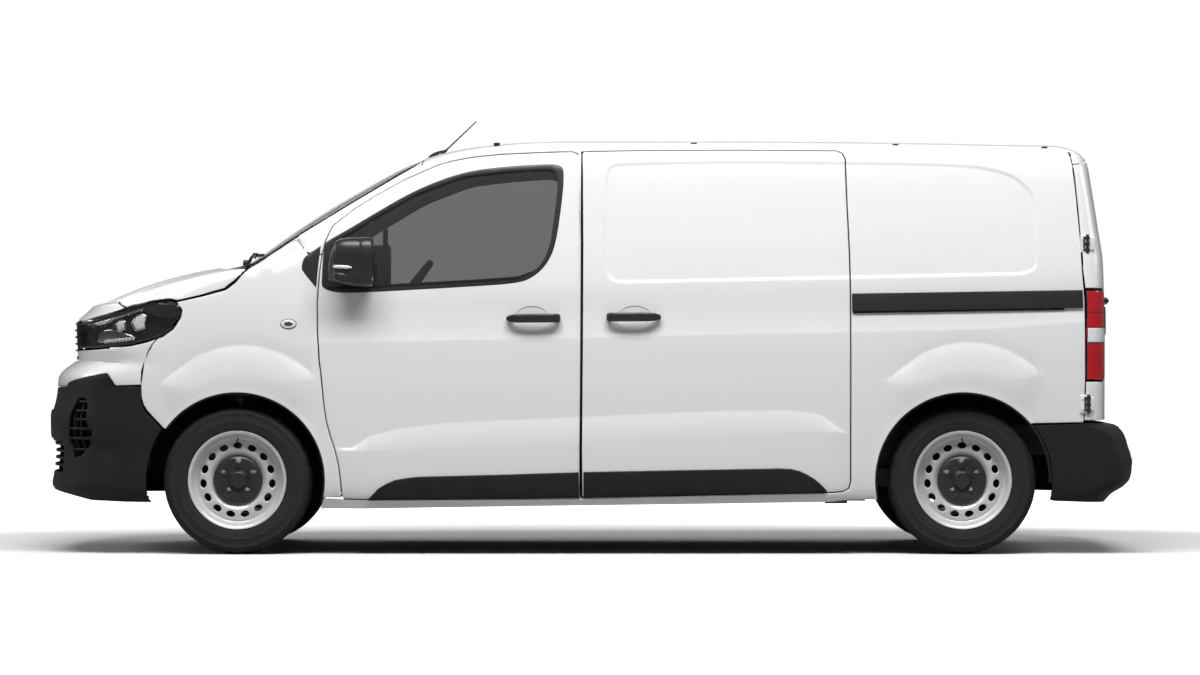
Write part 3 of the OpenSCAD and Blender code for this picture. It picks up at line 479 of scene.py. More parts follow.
mat("floor_paint", "chassis_metal", (0.40, 0.41, 0.43), 0.5, metal=0.2, col2=(0.33, 0.34, 0.355), var=(5, 0.6), bump=(120, 0.2), dust=0.2)
mat("engine_metal", "chassis_metal", (0.30, 0.31, 0.32), 0.5, metal=0.7, col2=(0.12, 0.12, 0.125), var=(14, 0.6), bump=(220, 0.5))
mat("exhaust_steel", "exhaust_metal", (0.42, 0.40, 0.38), 0.4, metal=0.9, col2=(0.22, 0.17, 0.13), var=(8, 0.6), bump=(60, 0.15))
mat("tank_hdpe", "tank_plastic", (0.03, 0.03, 0.032), 0.5, col2=(0.022, 0.022, 0.024), var=(10, 0.6), bump=(300, 0.25), dust=0.3)
mat("bulkhead_paint", "bulkhead_metal", (0.42, 0.43, 0.45), 0.5, metal=0.2, col2=(0.37, 0.38, 0.40), var=(4, 0.6), bump=(160, 0.12))
mat("rubber_tyre", "tyre_rubber", (0.011, 0.011, 0.0115), 0.70, col2=(0.017, 0.0165, 0.016), var=(26, 0.7), rvar=0.08, bump=(500, 0.35), dust=0.03, spec=0.3)
mat("wheel_silver", "wheel_silver", (0.70, 0.71, 0.72), 0.38, metal=0.30, col2=(0.63, 0.64, 0.65), var=(40, 0.6), rvar=0.05, bump=(900, 0.10))
mat("wheel_dark", "wheel_silver", (0.09, 0.09, 0.095), 0.5, metal=0.6, col2=(0.14, 0.12, 0.10), var=(12, 0.5), bump=(200, 0.3))
mat("steel_bare", "chassis_metal", (0.45, 0.45, 0.46), 0.32, metal=0.95, col2=(0.30, 0.28, 0.26), var=(12, 0.6), bump=(220, 0.15), pattern="brushed")
mat("plate_blank", "body_white", (0.74, 0.75, 0.76), 0.35, col2=(0.7, 0.71, 0.72), var=(30, 0.7), bump=(600, 0.12), coat=0.2)

# =============================================================================
# Side-view outlines, [x, z] in millimetres
# =============================================================================
DOOR = [[-1109,256],[-1116,335],[-1124,400],[-1140,468],[-1162,535],[-1180,603],
  [-1190,670],[-1203,806],[-1212,873],[-1220,1008],[-1221,1144],[-1211,1279],
  [-1201,1347],[-1187,1415],[-1158,1484],[-1073,1553],[-965,1622],[-843,1690],
  [-690,1758],[-630,1776],[-540,1793],[-403,1808],[-267,1815],[-131,1820],
  [-75,1821],[-52,1812],[-44,1790],[-38,1692],[-36,1374],[-38,967],[-40,697],
  [-42,472],[-42,268],[-50,262]]
DOOR_IN = [[-1085,290],[-1092,400],[-1130,535],[-1158,670],[-1180,873],[-1192,1008],
  [-1193,1144],[-1183,1279],[-1172,1347],[-1155,1405],[-1120,1465],[-1045,1535],
  [-950,1595],[-830,1662],[-680,1730],[-540,1762],[-403,1778],[-267,1786],
  [-125,1789],[-92,1770],[-80,1692],[-62,1374],[-62,967],[-64,472],[-64,290]]
DLO = [[-1176,1214],[-1180,1290],[-1160,1400],[-1130,1420],[-960,1525],[-786,1626],
  [-570,1708],[-357,1734],[-190,1744],[-150,1735],[-138,1700],[-142,1620],
  [-172,1400],[-205,1318],[-250,1276],[-320,1246],[-526,1232],[-960,1208],[-1120,1202]]
SLIDE = [[-28,268],[-30,472],[-28,697],[-26,967],[-24,1374],[-26,1692],[-28,1812],[-24,1821],
  [233,1827],[687,1828],[1120,1826],[1148,1815],[1160,1790],[1164,1628],[1175,1355],
  [1178,1152],[1178,330],[1170,300],[1145,287],[502,275],[-22,262]]
WING = [[-2018,765],[-2012,803],[-2005,861],[-1987,906],[-1964,949],[-1940,974],[-1920,980],[-1871,1016],[-1838,1068],
  [-1832,1103],[-1856,1138],[-1753,1161],[-1636,1192],[-1594,1225],[-1566,1258],[-1538,1288],
  [-1440,1362],[-1329,1420],[-1297,1390],[-1269,1356],[-1207,1349],[-1217,1279],[-1227,1144],
  [-1226,1008],[-1218,873],[-1209,806],[-1196,670],[-1186,603],[-1168,535],[-1146,468],
  [-1130,400],[-1122,335],[-1117,206]]
ARCH_R = 397.0
def arc(x, r, a0, a1, n=40, z=AXZ):
    t = np.radians(np.linspace(a0, a1, n)); return [[x + r * math.cos(k), z + r * math.sin(k)] for k in t]
WING_OUT = WING[:-1] + [[-1117, 206], [FX + math.sqrt(ARCH_R**2 - 129**2), 206]] + arc(FX, ARCH_R, -18.96, 168, 46)[1:] + [[-1990, 520], [-2001, 600], [-2014, 690]]

# ---- modelled relief of the flanks: millimetres outwards ---------------------
def poly_y(pts, x):
    p = np.array(pts, float); return np.interp(x, p[:, 0], p[:, 1])
CREASE_HI = [[-1180,480],[-1067,482],[-986,536],[-850,568],[-625,596],[-39,620],[502,645],[907,651],[1010,640],[1065,620],[1146,557],[1180,545]]
CREASE_LO = [[-1180,470],[-1067,468],[-850,469],[-39,503],[502,528],[907,545],[1146,552],[1180,544]]
PRESS = [[74,1692],[87,1747],[110,1764],[142,1770],[300,1775],[686,1781],[1162,1776],[1411,1773],[1638,1767],[1774,1756],[1860,1738],[1927,1713],
  [1998,1654],[2015,1620],[2022,1586],[2029,1336],[2026,1308],[2014,1284],[1969,1263],[1640,1256],[1190,1246],[700,1236],[141,1225],[106,1233],[83,1261],[72,1290],[65,1329]]
PRESS = smooth(dens(PRESS, 60), 2)
CUPS = [(-257, 1066, 78, 54), (209, 1070, 74, 52)]
FU = [[-350,784],[-341,790],[-265,850],[-185,909],[-84,946],[12,959],[107,951],[198,923],[278,880],[328,840],[348,808],[352,800]]
FL = [[-350,780],[-341,778],[-214,767],[-124,795],[-64,818],[16,825],[96,818],[186,795],[300,800],[348,804],[352,800]]
WAIST = [[-1290,950],[-1202,954],[1018,1001],[1182,1003],[1563,1011],[1825,1019],[1986,1033],[2240,1052]]
def flare(x, z, cx, dz):
    "crescent over a wheel: a ridge, a face that leans back below it, and a shallow hollow above it"
    dx = x - cx; u = poly_y(FU, dx) + dz; l = poly_y(FL, dx) + dz; w = np.where(np.abs(dx) < 351, np.maximum(u - l, 1), 1)
    t = np.clip((u - z) / w, 0, 1); h = 15.0 * np.clip((w - 4) / 80, 0, 1); k = np.clip((w - 4) / 60, 0, 1)
    hollow = -3.6 * np.where(z > u, np.clip(1 - (z - u) / 58.0, 0, 1) ** 1.5, (1 - t) ** 2) * k
    lip = 4.0 * np.clip(1 - (np.hypot(dx, z - AXZ) - ARCH_R) / 26.0, 0, 1) ** 2
    return 1.12 * h * (0.36 * (1 - (1 - t) ** 4) + 0.64 * t) * (1 - sstep(l - z, -2, 215)) + hollow + lip
def relief(x, z, y=None):
    x = np.asarray(x, float); z = np.asarray(z, float)
    hi = poly_y(CREASE_HI, x); lo = poly_y(CREASE_LO, x); t = np.clip((hi - z) / np.maximum(hi - lo, 6), 0, 1)
    fade = sstep(x, -1190, -1000) * (1 - sstep(x, 1080, 1180))
    d = 15.0 * (1 - (1 - t) ** 1.6) * fade
    d += flare(x, z, FX, -14) + flare(x, z, RX, 0)
    # waistline: the body leans in above it
    q = np.clip(z - poly_y(WAIST, x), 0, None)
    d -= 7.4 * (1 - np.exp(-q / 40.0)) * (1 - sstep(q, 95, 240)) * sstep(x, -1320, -1215)
    # recess behind the handles
    for cx, cz, rx_, rz in CUPS:
        q = ((x - cx) / rx_) ** 2 + ((z - cz) / rz) ** 2
        d -= 19.0 * np.sqrt(np.clip(1 - q, 0, 1)) ** 0.8
    # wide shallow pressing of the load bay side
    m = (x > 40) & (x < 2060) & (z > 1200) & (z < 1800)
    if m.any():
        q = np.stack([x[m], z[m]], 1); s = inside(q, PRESS); e = seg_dist(q, PRESS)
        v = np.zeros(len(x)); v[m] = np.where(s, -5.5 * sstep(e, 0, 11), 0); d += v
    return d
def feat_side(clip):
    "points along the relief's edges so that it comes out crisp"
    out = []
    for o in (-9, -3, 3, 9, 16):
        out += list(dens(offs(PRESS, -o) if o else PRESS, 11))
    for base in (CREASE_HI, CREASE_LO):
        for o in (-5, 0, 5): out += list(dens([[p[0], p[1] + o] for p in base], 17, False))
    for o in (-6, 0, 7, 18, 34, 60): out += list(dens([[p[0], p[1] + o] for p in WAIST], 26, False))
    for cx, dz in ((FX, -14), (RX, 0)):
        for k in (10, 3, -3, -12, -28, -50): out += [[cx + x_, float(poly_y(FU, x_)) + dz + k] for x_ in np.arange(-346, 348, 14)]
        for k in (6, -6): out += [[cx + x_, float(poly_y(FL, x_)) + dz + k] for x_ in np.arange(-346, 348, 16)]
        for r in (403, 412, 424, 440): out += [[cx + r * math.cos(math.radians(t)), AXZ + r * math.sin(math.radians(t))] for t in np.linspace(-15, 195, int(r / 6.0))]
    for cx, cz, rx_, rz in CUPS:
        for f in (1.02, 0.98, 0.9, 0.78, 0.62, 0.44, 0.24):
            n = max(10, int(44 * f)); out += [[cx + rx_ * f * math.cos(t), cz + rz * f * math.sin(t)] for t in np.linspace(0, 2 * math.pi, n, endpoint=False)]
    out = np.array(out); c = np.array(clip, float)
    k = (out[:, 0] > c[:, 0].min()) & (out[:, 0] < c[:, 0].max()) & (out[:, 1] > c[:, 1].min()) & (out[:, 1] < c[:, 1].max())
    out = out[k]
    # thin out crowded points
    keep = []; cell = {}
    for p in out:
        key = (int(p[0] // 4), int(p[1] // 4))
        if key in cell: continue
        cell[key] = 1; keep.append(p)
    return SIDE.ab(np.array(keep)) if keep else None

G = 30
def side_panel(poly, holes=(), t0=0, t1=8, r=2.4, D=relief, grid=None, extra=True, step=12):
    o = SIDE.ab(dens(poly, step)); hs = [SIDE.ab(dens(h, step)) for h in holes]
    return panel(SIDE, o, hs, t0, t1, r, D, grid or G, feat_side(poly) if extra else None)

# ---- flanks -------------------------------------------------------------------
top_x = np.linspace(-770, 2176, 90)
def top_edge(x, y=704.6):
    lo, hi = 1500.0, 1888.0
    for _ in range(30):
        m = (lo + hi) / 2
        if float(W(x, m)) > y and float(FRONT(m)) < x: lo = m
        else: hi = m
    return lo - float(fall(x, lo))
TOPS = [[x, top_edge(x)] for x in top_x]
def order(p, start):
    i = int(np.argmin(np.linalg.norm(p - np.array(start), axis=1))); return np.roll(p, -i, 0)
DO = ccw(np.array(DOOR, float))[::-1]; SO = ccw(np.array(SLIDE, float))[::-1]    # clockwise seen from the left
d_cw = left_shift(dens(DO, 20), 6.0); s_cw = left_shift(dens(SO, 20), 6.0)
a_ = order(d_cw, (-60, 256)); a_ = a_[a_[:, 0] < -46]
b_ = order(s_cw, (-20, 1827)); b_ = b_[b_[:, 0] > -20]
HOLE = np.concatenate([a_, [[-34, 1826]], b_, [[-34, 256]]])
side_poly = [[-1210, 206], [1281, 248]] + arc(RX, ARCH_R, 192.6, 40.2, 56) + [[2010, 593], [2231, 597], [2238, 800], [2237, 1156],
   [2226, 1291], [2220, 1427], [2204, 1632], [2191, 1765], [2186, 1800]] + TOPS[::-1] + [[-762, 1783], [-800, 1755], [-1009, 1631], [-1190, 1521], [-1322, 1441], [-1297, 1398], [-1268, 1364], [-1208, 1356]]
# the front door's opening is open towards the wing, so its edge is part of the outline
HOLE = order(ccw(HOLE)[::-1], (-1208, 1352)); k_ = int(np.argmin(np.linalg.norm(HOLE - np.array([-1112, 252]), axis=1)))
side_poly = np.concatenate([np.array(side_poly), HOLE[1:k_ + 1], [[-1197, 251]]])
skin = side_panel(side_poly, [], 0, 7, grid=G)
NOD = lambda n: (n + "_left", n + "_right")
pair("side_panel", skin, M["paint_white"], nodes=NOD("side_panel"))

# jamb behind the openings, one frame with two mouths
jamb_out = [[-1190, 520], [-1135, 330], [-1100, 215], [1270, 252]] + arc(RX, ARCH_R + 14, 192, 90, 24) + [[1700, 1160], [1700, 1790], [1690, 1838], [-700, 1838],
   [-760, 1775], [-1000, 1640], [-1190, 1520], [-1212, 1380], [-1226, 1144], [-1224, 1008], [-1206, 800]]
SL_IN = smooth([[30, 300], [30, 1770], [60, 1795], [1080, 1795], [1105, 1780], [1128, 1160], [1128, 820], [1110, 760], [1090, 700], [1090, 330], [1060, 300]], 1)
DR_IN = left_shift(ccw(dens(smooth(DOOR_IN, 1), 20)), -7.0)
def clip_x(p, xmax): p = np.array(p, float).copy(); p[:, 0] = np.minimum(p[:, 0], xmax); return p
jamb = side_panel(jamb_out, [clip_x(DR_IN, -53), SL_IN], 26, 52, 3, None, 60, False, 20)
pair("door_jamb", jamb, M["paint_inner"])
seal_f = side_panel(left_shift(ccw(dens(DR_IN, 20)), -9.0), [DR_IN], 18, 25.5, 2.5, None, 60, False, 20)
pair("door_seal", seal_f, M["seal_rubber"])
gapstrip = side_panel([[-47, 262], [-47, 1823], [-12, 1823], [-12, 262]], [], 15, 25, 2, None, 60, False, 20)
pair("pillar_seal", gapstrip, M["seal_rubber"])
seal_s = side_panel(left_shift(ccw(dens(SO, 20)), -14.0), [left_shift(ccw(dens(SO, 20)), 4.0)], 12, 25, 2.5, None, 60, False, 20)
pair("sliding_seal", seal_s, M["seal_rubber"])

# ---- front door -----------------------------------------------------------------
DLO_S = smooth(dens(DLO, 90), 2)
dskin = side_panel(DOOR, [offs(DLO_S, 1.0)], 0, 8)
pair("front_door_skin", dskin, M["paint_white"], ("front_door_left", "front_door_right"), NOD("front_door"))
din = smooth(dens(DOOR_IN, 120), 1)
dinner = side_panel(din, [offs(DLO_S, 10.0)], 8.2, 40, 6, None, 60, False, 18)
pair("front_door_frame", dinner, M["paint_inner"], ("front_door_left", "front_door_right"))
card = side_panel(smooth([[-1120, 350], [-1150, 700], [-1165, 1000], [-1160, 1175], [-960, 1188], [-520, 1212], [-240, 1262], [-100, 1262], [-92, 900], [-95, 350]], 2),
   [], 41, 54, 5, None, 40, False, 18)
pair("front_door_card", card, M["plastic_cab"], ("front_door_left", "front_door_right"))
glass = side_panel(left_shift(ccw(dens(DLO_S, 14)), 0.8), [], 6, 11, 0.8, None, 60, False, 14)
pair("front_door_glass", glass, M["glass_tint"], ("front_door_left", "front_door_right"), NOD("door_glass"))
# black frame round the glass, which runs out in a tip on the wing
BAND = smooth([[-1206,1228],[-1196,1395],[-1182,1415],[-1090,1466],[-993,1525],[-786,1647],[-570,1730],[-357,1757],[-157,1767],[-124,1757],[-112,1733],[-116,1632],
   [-148,1396],[-188,1310],[-240,1258],[-310,1224],[-526,1209],[-959,1185],[-1131,1178],[-1200,1200]], 2)
band = side_panel(BAND, [left_shift(ccw(dens(DLO_S, 14)), 1.5)], -1.2, 3.5, 1.2, relief, 30, False)
pair("window_frame", band, M["trim_satin"], ("front_door_left", "front_door_right"))
TIP = smooth([[-1298,1292],[-1286,1342],[-1250,1366],[-1214,1392],[-1209,1396],[-1222,1290],[-1229,1200],[-1232,1206],[-1285,1270]], 1)
tip = side_panel(TIP, [], -1.2, 3.0, 1.2, relief, 20, False)
pair("window_tip", tip, M["trim_satin"])
# quarter-light bar
bar = side_panel([[-1006,1200],[-1002,1497],[-988,1505],[-978,1512],[-982,1200]], [], 4.5, 14, 1.5, None, 20, False)
pair("quarter_light_bar", bar, M["trim_satin"], ("front_door_left", "front_door_right"))
belt = side_panel([[-1178,1196],[-960,1203],[-526,1227],[-320,1241],[-262,1268],[-250,1280],[-320,1254],[-526,1240],[-960,1216],[-1178,1209]], [], -2.5, 5, 1.5, None, 14, False)
pair("belt_weatherstrip", belt, M["seal_rubber"], ("front_door_left", "front_door_right"))

# ---- sliding door -----------------------------------------------------------------
sskin = side_panel(SLIDE, [], 0, 8)
pair("sliding_door", sskin, M["paint_white"], nodes=NOD("sliding_door"))
sin_ = side_panel(smooth([[14, 300], [10, 1780], [40, 1800], [1090, 1800], [1120, 1780], [1140, 1400], [1146, 1150], [1146, 330], [1120, 300]], 1), [], 8.2, 44, 6, None, 70, False, 20)
pair("sliding_door_inner", sin_, M["paint_inner"])

# ---- mouldings, rail, side lamps ------------------------------------------------------
MF = [[-996,253],[-985,264],[-950,299],[-915,320],[-873,338],[-820,347],[-761,353],[-400,362],[-45,373],[-43,318],[-43,262],[-300,258]]
mf = side_panel(MF, [], -9, 1, 5, relief, 26, False)
pair("moulding_front", mf, M["trim_textured"], ("front_door_left", "front_door_right"))
MS = [[-24,264],[-24,374],[400,382],[862,390],[915,387],[953,377],[985,362],[1020,341],[1045,320],[1072,293],[1074,288],[1000,282],[502,276]]
ms = side_panel(MS, [], -9, 1, 5, relief, 26, False)
pair("moulding_rear", ms, M["trim_textured"])
rail = side_panel([[1187,1096],[1187,1177],[2228,1193],[2230,1113]], [], -6.5, 3, 2.0, None, 24, False)
pair("rail_cover", rail, M["trim_satin"], nodes=(("sliding_door_rails"), None))
slot_ = side_panel([[1192,1088],[1192,1096],[2145,1111],[2145,1103]], [], -1.5, 3, 0.6, None, 14, False)
pair("rail_slot", slot_, M["seal_rubber"])
IND = [[-1353 + 34 * math.cos(t) * (1.0 if math.cos(t) > 0 else 1.0), 1040 + 20 * math.sin(t)] for t in np.linspace(0, 2 * math.pi, 28, endpoint=False)]
rim_ = side_panel(offs(IND, 3.0), [], -1.5, 2, 1.0, None, 8, False, step=6)
pair("side_indicator_rim", rim_, M["trim_satin"])
ind = side_panel(IND, [], -5, 2, 3, None, 8, False, step=6)
pair("side_indicator", ind, M["lamp_white"])
indc = side_panel([[-1353 + 20 * math.cos(t), 1040 + 11 * math.sin(t)] for t in np.linspace(0, 2 * math.pi, 20, endpoint=False)], [], -6.2, -4, 1, None, 6, False, step=5)
pair("side_indicator_core", indc, M["lamp_chrome"])

# =============================================================================
# Nose: wings, bonnet, screen, lamps, grilles and bumper
# =============================================================================
WING_OUT = WING[:-1] + [[-1116.5, 257]] + arc(FX, ARCH_R, -11.3, 144.0, 50) + [[-1917,572],[-1955,612],[-1990,650],[-2006,676],[-2016,710]]
wing = side_panel(WING_OUT, [], 0, 9)
pair("front_wing", wing, M["paint_white"], nodes=(("front_wings"), None))
def lip(cx, a0, a1, z0):
    o = arc(cx, ARCH_R + 3, a0, a1, 60) + arc(cx, ARCH_R - 9, a1, a0, 60)
    return side_panel(o, [], 3, 26, 2, relief, 20, False)
pair("arch_lip_front", lip(FX, -16, 144, 0), M["trim_textured"])
pair("arch_lip_rear", lip(RX, -2, 192, 0), M["trim_textured"])

def chain(*parts):
    "left half of a symmetric outline: ('y', [(y, h)...]) or ('x', [(x, z)...]) pieces in order"
    out = []
    for k, p in parts: out += list(NOSE.aby(p) if k == "y" else np.array(p, float) if k == "s" else NOSE.ab(p))
    return np.array(out)
def nose_sym(ch, holes=(), t0=0, t1=8, r=2.4, D=None, grid=None, extra=None, step=12):
    "whole-width panel from the chain of its +a half, given from the bottom centre round to the top centre"
    ch = dens(ch, step, False)
    o = np.concatenate([ch, (ch * [-1, 1])[::-1]])
    k = [0]
    for i in range(1, len(o)):
        if np.linalg.norm(o[i] - o[k[-1]]) > 0.6 * min(step, 4): k.append(i)
    o = o[k]
    if np.linalg.norm(o[0] - o[-1]) < 2: o = o[:-1]
    return panel(NOSE, o, holes, t0, t1, r, D, grid or G, extra)
def nose_half(ch, holes=(), t0=0, t1=8, r=2.4, D=None, grid=None, step=12):
    o = dens(ch, step); return panel(NOSE, o, holes, t0, t1, r, D, grid or G)

# bonnet with two soft swages
def bonnet_relief(x, z, y=None):
    ay = np.abs(y); c = 430 + 150 * sstep(x, -1700, -2250)
    return 7.0 * sstep(ay, c - 16, c + 16) * sstep(x, -2260, -2120) * (1 - sstep(x, -1640, -1570)) * (1 - sstep(ay, c + 60, c + 240)) * 1.0
bch = chain(("y", [(0, 1128), (200, 1128.5)]), ("s", [(420, 1192), (601, 1199.5), (681, 1224), (770, 1251.5)]), ("x", [(-2088, 1117), (-1975, 1148), (-1895, 1157), (-1860, 1149),
    (-1753, 1172), (-1642, 1203), (-1602, 1236), (-1576, 1265), (-1560, 1289)]), ("y", [(float(W(-1590, 1291)), 1291), (600, 1291), (300, 1291), (0, 1291)]))
bonnet = nose_sym(bch, t1=8, D=bonnet_relief)
mk("bonnet_skin", *bonnet, M["paint_white"], "bonnet", node="bonnet")
bin_ = nose_sym(chain(("y", [(0, 1140), (500, 1143)]), ("x", [(-2130, 1160), (-1960, 1168), (-1800, 1186), (-1700, 1206), (-1650, 1230), (-1620, 1265)]), ("y", [(500, 1282), (0, 1282)])), t0=10, t1=24, r=4, grid=60)
mk("bonnet_inner", *bin_, M["paint_inner"], "bonnet")
ncap = nose_sym(chain(("y", [(0, 1068), (300, 1066), (560, 1059)]), ("x", [(-2300, 1056), (-2200, 1083), (-2120, 1106), (-2100, 1113), (-2137, 1140), (-2200, 1133)]), ("y", [(600, 1127), (420, 1124), (200, 1122.5), (0, 1122)])), t1=8)
mk("nose_cap", *ncap, M["paint_white"])

sc = nose_sym(chain(("y", [(0, 1295.5), (600, 1295.5)]), ("x", [(-1590, 1296), (-1556, 1297), (-1546, 1302), (-1560, 1307), (-1575, 1311)]), ("y", [(600, 1317), (300, 1318), (0, 1318)])), t0=4, t1=14, r=2, grid=22)
mk("scuttle", *sc, M["trim_textured"], node="scuttle_panel")
ws_ch = chain(("y", [(0, 1321), (300, 1321), (600, 1319)]), ("x", [(-1572, 1314), (-1551, 1308), (-1500, 1337), (-1314, 1457), (-1190, 1530), (-1009, 1640), (-800, 1764), (-764, 1786), (-766, 1794)]), ("y", [(500, 1803), (300, 1805), (0, 1806)]))
ws = nose_sym(ws_ch, t0=3, t1=9, r=1.0, grid=45)
mk("windscreen_glass", *ws, M["glass_screen"], node="windscreen")
o = dens(ws_ch, 14, False); o = np.concatenate([o, (o * [-1, 1])[::-1][1:-1]])
def inset(p, d):
    "outline moved in by d, without the loops that sharp corners give"
    p = ccw(np.array(p, float)); q = left_shift(p, d); q = q[seg_dist(q, p) > 0.985 * d]; k = [0]
    for i in range(1, len(q)):
        if np.linalg.norm(q[i] - q[k[-1]]) > 3: k.append(i)
    return smooth(q[k], 1)
frit = panel(NOSE, left_shift(ccw(o), 1.5), [inset(left_shift(ccw(o), 1.5), 38)], 9.3, 10.3, 0.4, None, 40)
mk("windscreen_border", *frit, M["trim_gloss"])
wseal = panel(NOSE, left_shift(ccw(o), -3.5), [left_shift(ccw(o), 3.0)], 1.2, 7, 1.0, None, 30)
mk("windscreen_seal", *wseal, M["seal_rubber"])
gapb = dens(bch, 14, False); gapb = np.concatenate([gapb, (gapb * [-1, 1])[::-1][1:-1]])
bs = panel(NOSE, left_shift(ccw(gapb), -13), [left_shift(ccw(gapb), 7)], 14, 24, 2, None, 40)
mk("bonnet_seal", *bs, M["seal_rubber"])

# roof with long shallow swages and the rack sockets' holes
def roof_relief(x, z, y=None):
    d = 0 * x
    for c in (-480, -240, 0, 240, 480):
        d = d - 5.0 * (1 - sstep(np.abs(y - c), 10, 34)) * sstep(x, -520, -430) * (1 - sstep(x, 2020, 2110))
    return d
hr = 1811.0; yr = np.linspace(-703, 703, 60); wr = float(WID(hr))
rear = [[2284 - 130 + 130 * (1 - (abs(y) / wr) ** 4) ** 0.25, y] for y in yr]
front = [[-757 + 0 * abs(y), y] for y in np.linspace(703, -703, 60)]
ro = np.array(front[::-1][:0] + [[p[0], p[1]] for p in rear] + [[x, 703] for x in np.linspace(2200, -740, 130)] + [[-757, y] for y in np.linspace(700, -700, 60)] + [[x, -703] for x in np.linspace(-740, 2200, 130)])
ex = [[x, c + k] for c in (-480, -240, 0, 240, 480) for k in (-34, -26, -18, -10, 0, 10, 18, 26, 34) for x in np.arange(-540, 2130, 42)]
holes = [np.array([[x + 15.5 * math.cos(t), s * 640 + 15.5 * math.sin(t)] for t in np.linspace(0, 2 * math.pi, 28, endpoint=False)]) for x in (-420, 480, 1400, 2080) for s in (-1, 1)]
roof = panel(ROOF, ro, holes, 0, 9, 3, roof_relief, 42, ex, 70)
mk("roof_skin", *roof, M["paint_white"], node="roof_panel")
for i in (0,):
    st = panel(ROOF, np.array([[x, 690] for x in np.linspace(-735, 2190, 160)] + [[x, 722] for x in np.linspace(2190, -735, 160)]), [], 6, 14, 2, None, 40)
    mk("roof_joint_left", *st, M["seal_rubber"]); m_ = mirror(st); mk("roof_joint_right", *m_, M["seal_rubber"])
liner = panel(ROOF, np.array([[x, -660] for x in np.linspace(-680, 40, 30)] + [[x, 660] for x in np.linspace(40, -680, 30)]), [], 36, 46, 4, None, 60)
mk("roof_lining", *liner, M["plastic_cab_light"])
bows = []
for x in (420, 860, 1300, 1740):
    bows.append(panel(ROOF, np.array([[x - 35, y] for y in np.linspace(-690, 690, 40)] + [[x + 35, y] for y in np.linspace(690, -690, 40)])[::-1], [], 10, 30, 5, None, 40))
mk("roof_bows", *join(*bows), M["paint_inner"])

# ---- headlamps ------------------------------------------------------------------------
LB = [(-2250, 930), (-2213, 932), (-2157, 937), (-2061, 949), (-1992, 965), (-1924, 986), (-1878, 1020), (-1848, 1066), (-1843, 1084), (-1843, 1100), (-1852, 1120), (-1868, 1136), (-1880, 1142), (-1896, 1145), (-1971, 1136), (-2088, 1105), (-2200, 1075), (-2290, 1050)]
def lamp_outline(d=0.0):
    c = chain(("y", [(572, 930), (640, 929)]), ("x", LB), ("y", [(640, 1047), (572, 1047)]))
    return left_shift(ccw(dens(c, 10)), d)
lens = panel(NOSE, lamp_outline(0.8), [], 1.0, 4.0, 1.2, None, 24)
pair("headlamp_lens", lens, M["lamp_lens"], nodes=(("headlamps"), None))
house = panel(NOSE, lamp_outline(1.2), [], 40, 62, 4, None, 34)
pair("headlamp_bowl", house, M["lamp_bezel"])
wall = panel(NOSE, lamp_outline(0.4), [left_shift(lamp_outline(0.4), 9.0)], 4.4, 44, 3, None, 18)
pair("headlamp_bezel", wall, M["lamp_bezel"])
def patch(xz, t0, t1, r=2, step=8, grid=14, D=None, sm=1):
    c = smooth(NOSE.ab(xz), sm); return panel(NOSE, dens(c, step), [], t0, t1, r, D, grid)
vane = patch([(-1850, 1098), (-1872, 1130), (-1896, 1139), (-1971, 1129), (-2030, 1112), (-1985, 1085), (-1900, 1060), (-1862, 1066)], 7, 40, 8)
pair("headlamp_vane", vane, M["lamp_bezel"])
def proj(x, z, w, h, t):
    q = [(x - w, z - h * 0.75), (x - w * 0.85, z + h * 0.8), (x - w * 0.3, z + h), (x + w * 0.45, z + h), (x + w, z + h * 0.7), (x + w, z - h * 0.55), (x + w * 0.2, z - h * 0.85), (x - w * 0.7, z - h)]
    return q
m1 = patch(proj(-2024, 1048, 34, 44, 0), 15, 38, 7); pair("headlamp_module_main", m1, M["lamp_chrome"])
m1b = patch(proj(-2024, 1048, 25, 34, 0), 11, 17, 5); pair("headlamp_module_lens", m1b, M["lamp_white"])
m2 = patch(proj(-2118, 1036, 25, 34, 0), 18, 38, 6); pair("headlamp_module_inner", m2, M["lamp_chrome"])
m2b = patch(proj(-2118, 1036, 17, 25, 0), 14, 20, 4); pair("headlamp_module_glass", m2b, M["lamp_white"])
refl = patch([(-2250, 948), (-2160, 948), (-2070, 957), (-2056, 985), (-2110, 1000), (-2170, 1018), (-2225, 1010), (-2252, 975)], 26, 40, 5); pair("headlamp_reflector", refl, M["lamp_chrome"])
strip = []
for i in range(9):
    x = -2206 + i * 17.5; z = 957 + i * 2.1; strip.append(patch([(x, z - 9), (x + 11, z - 8), (x + 12, z + 9), (x + 1, z + 8)], 16, 34, 2, 5, 8, None, 1))
pair("headlamp_day_strip", join(*strip), M["lamp_white"])
brow = patch([(-2285, 1042), (-2200, 1066), (-2088, 1096), (-1990, 1123), (-1990, 1113), (-2088, 1085), (-2200, 1055), (-2285, 1031)], 8, 26, 3); pair("headlamp_brow", brow, M["lamp_chrome"])

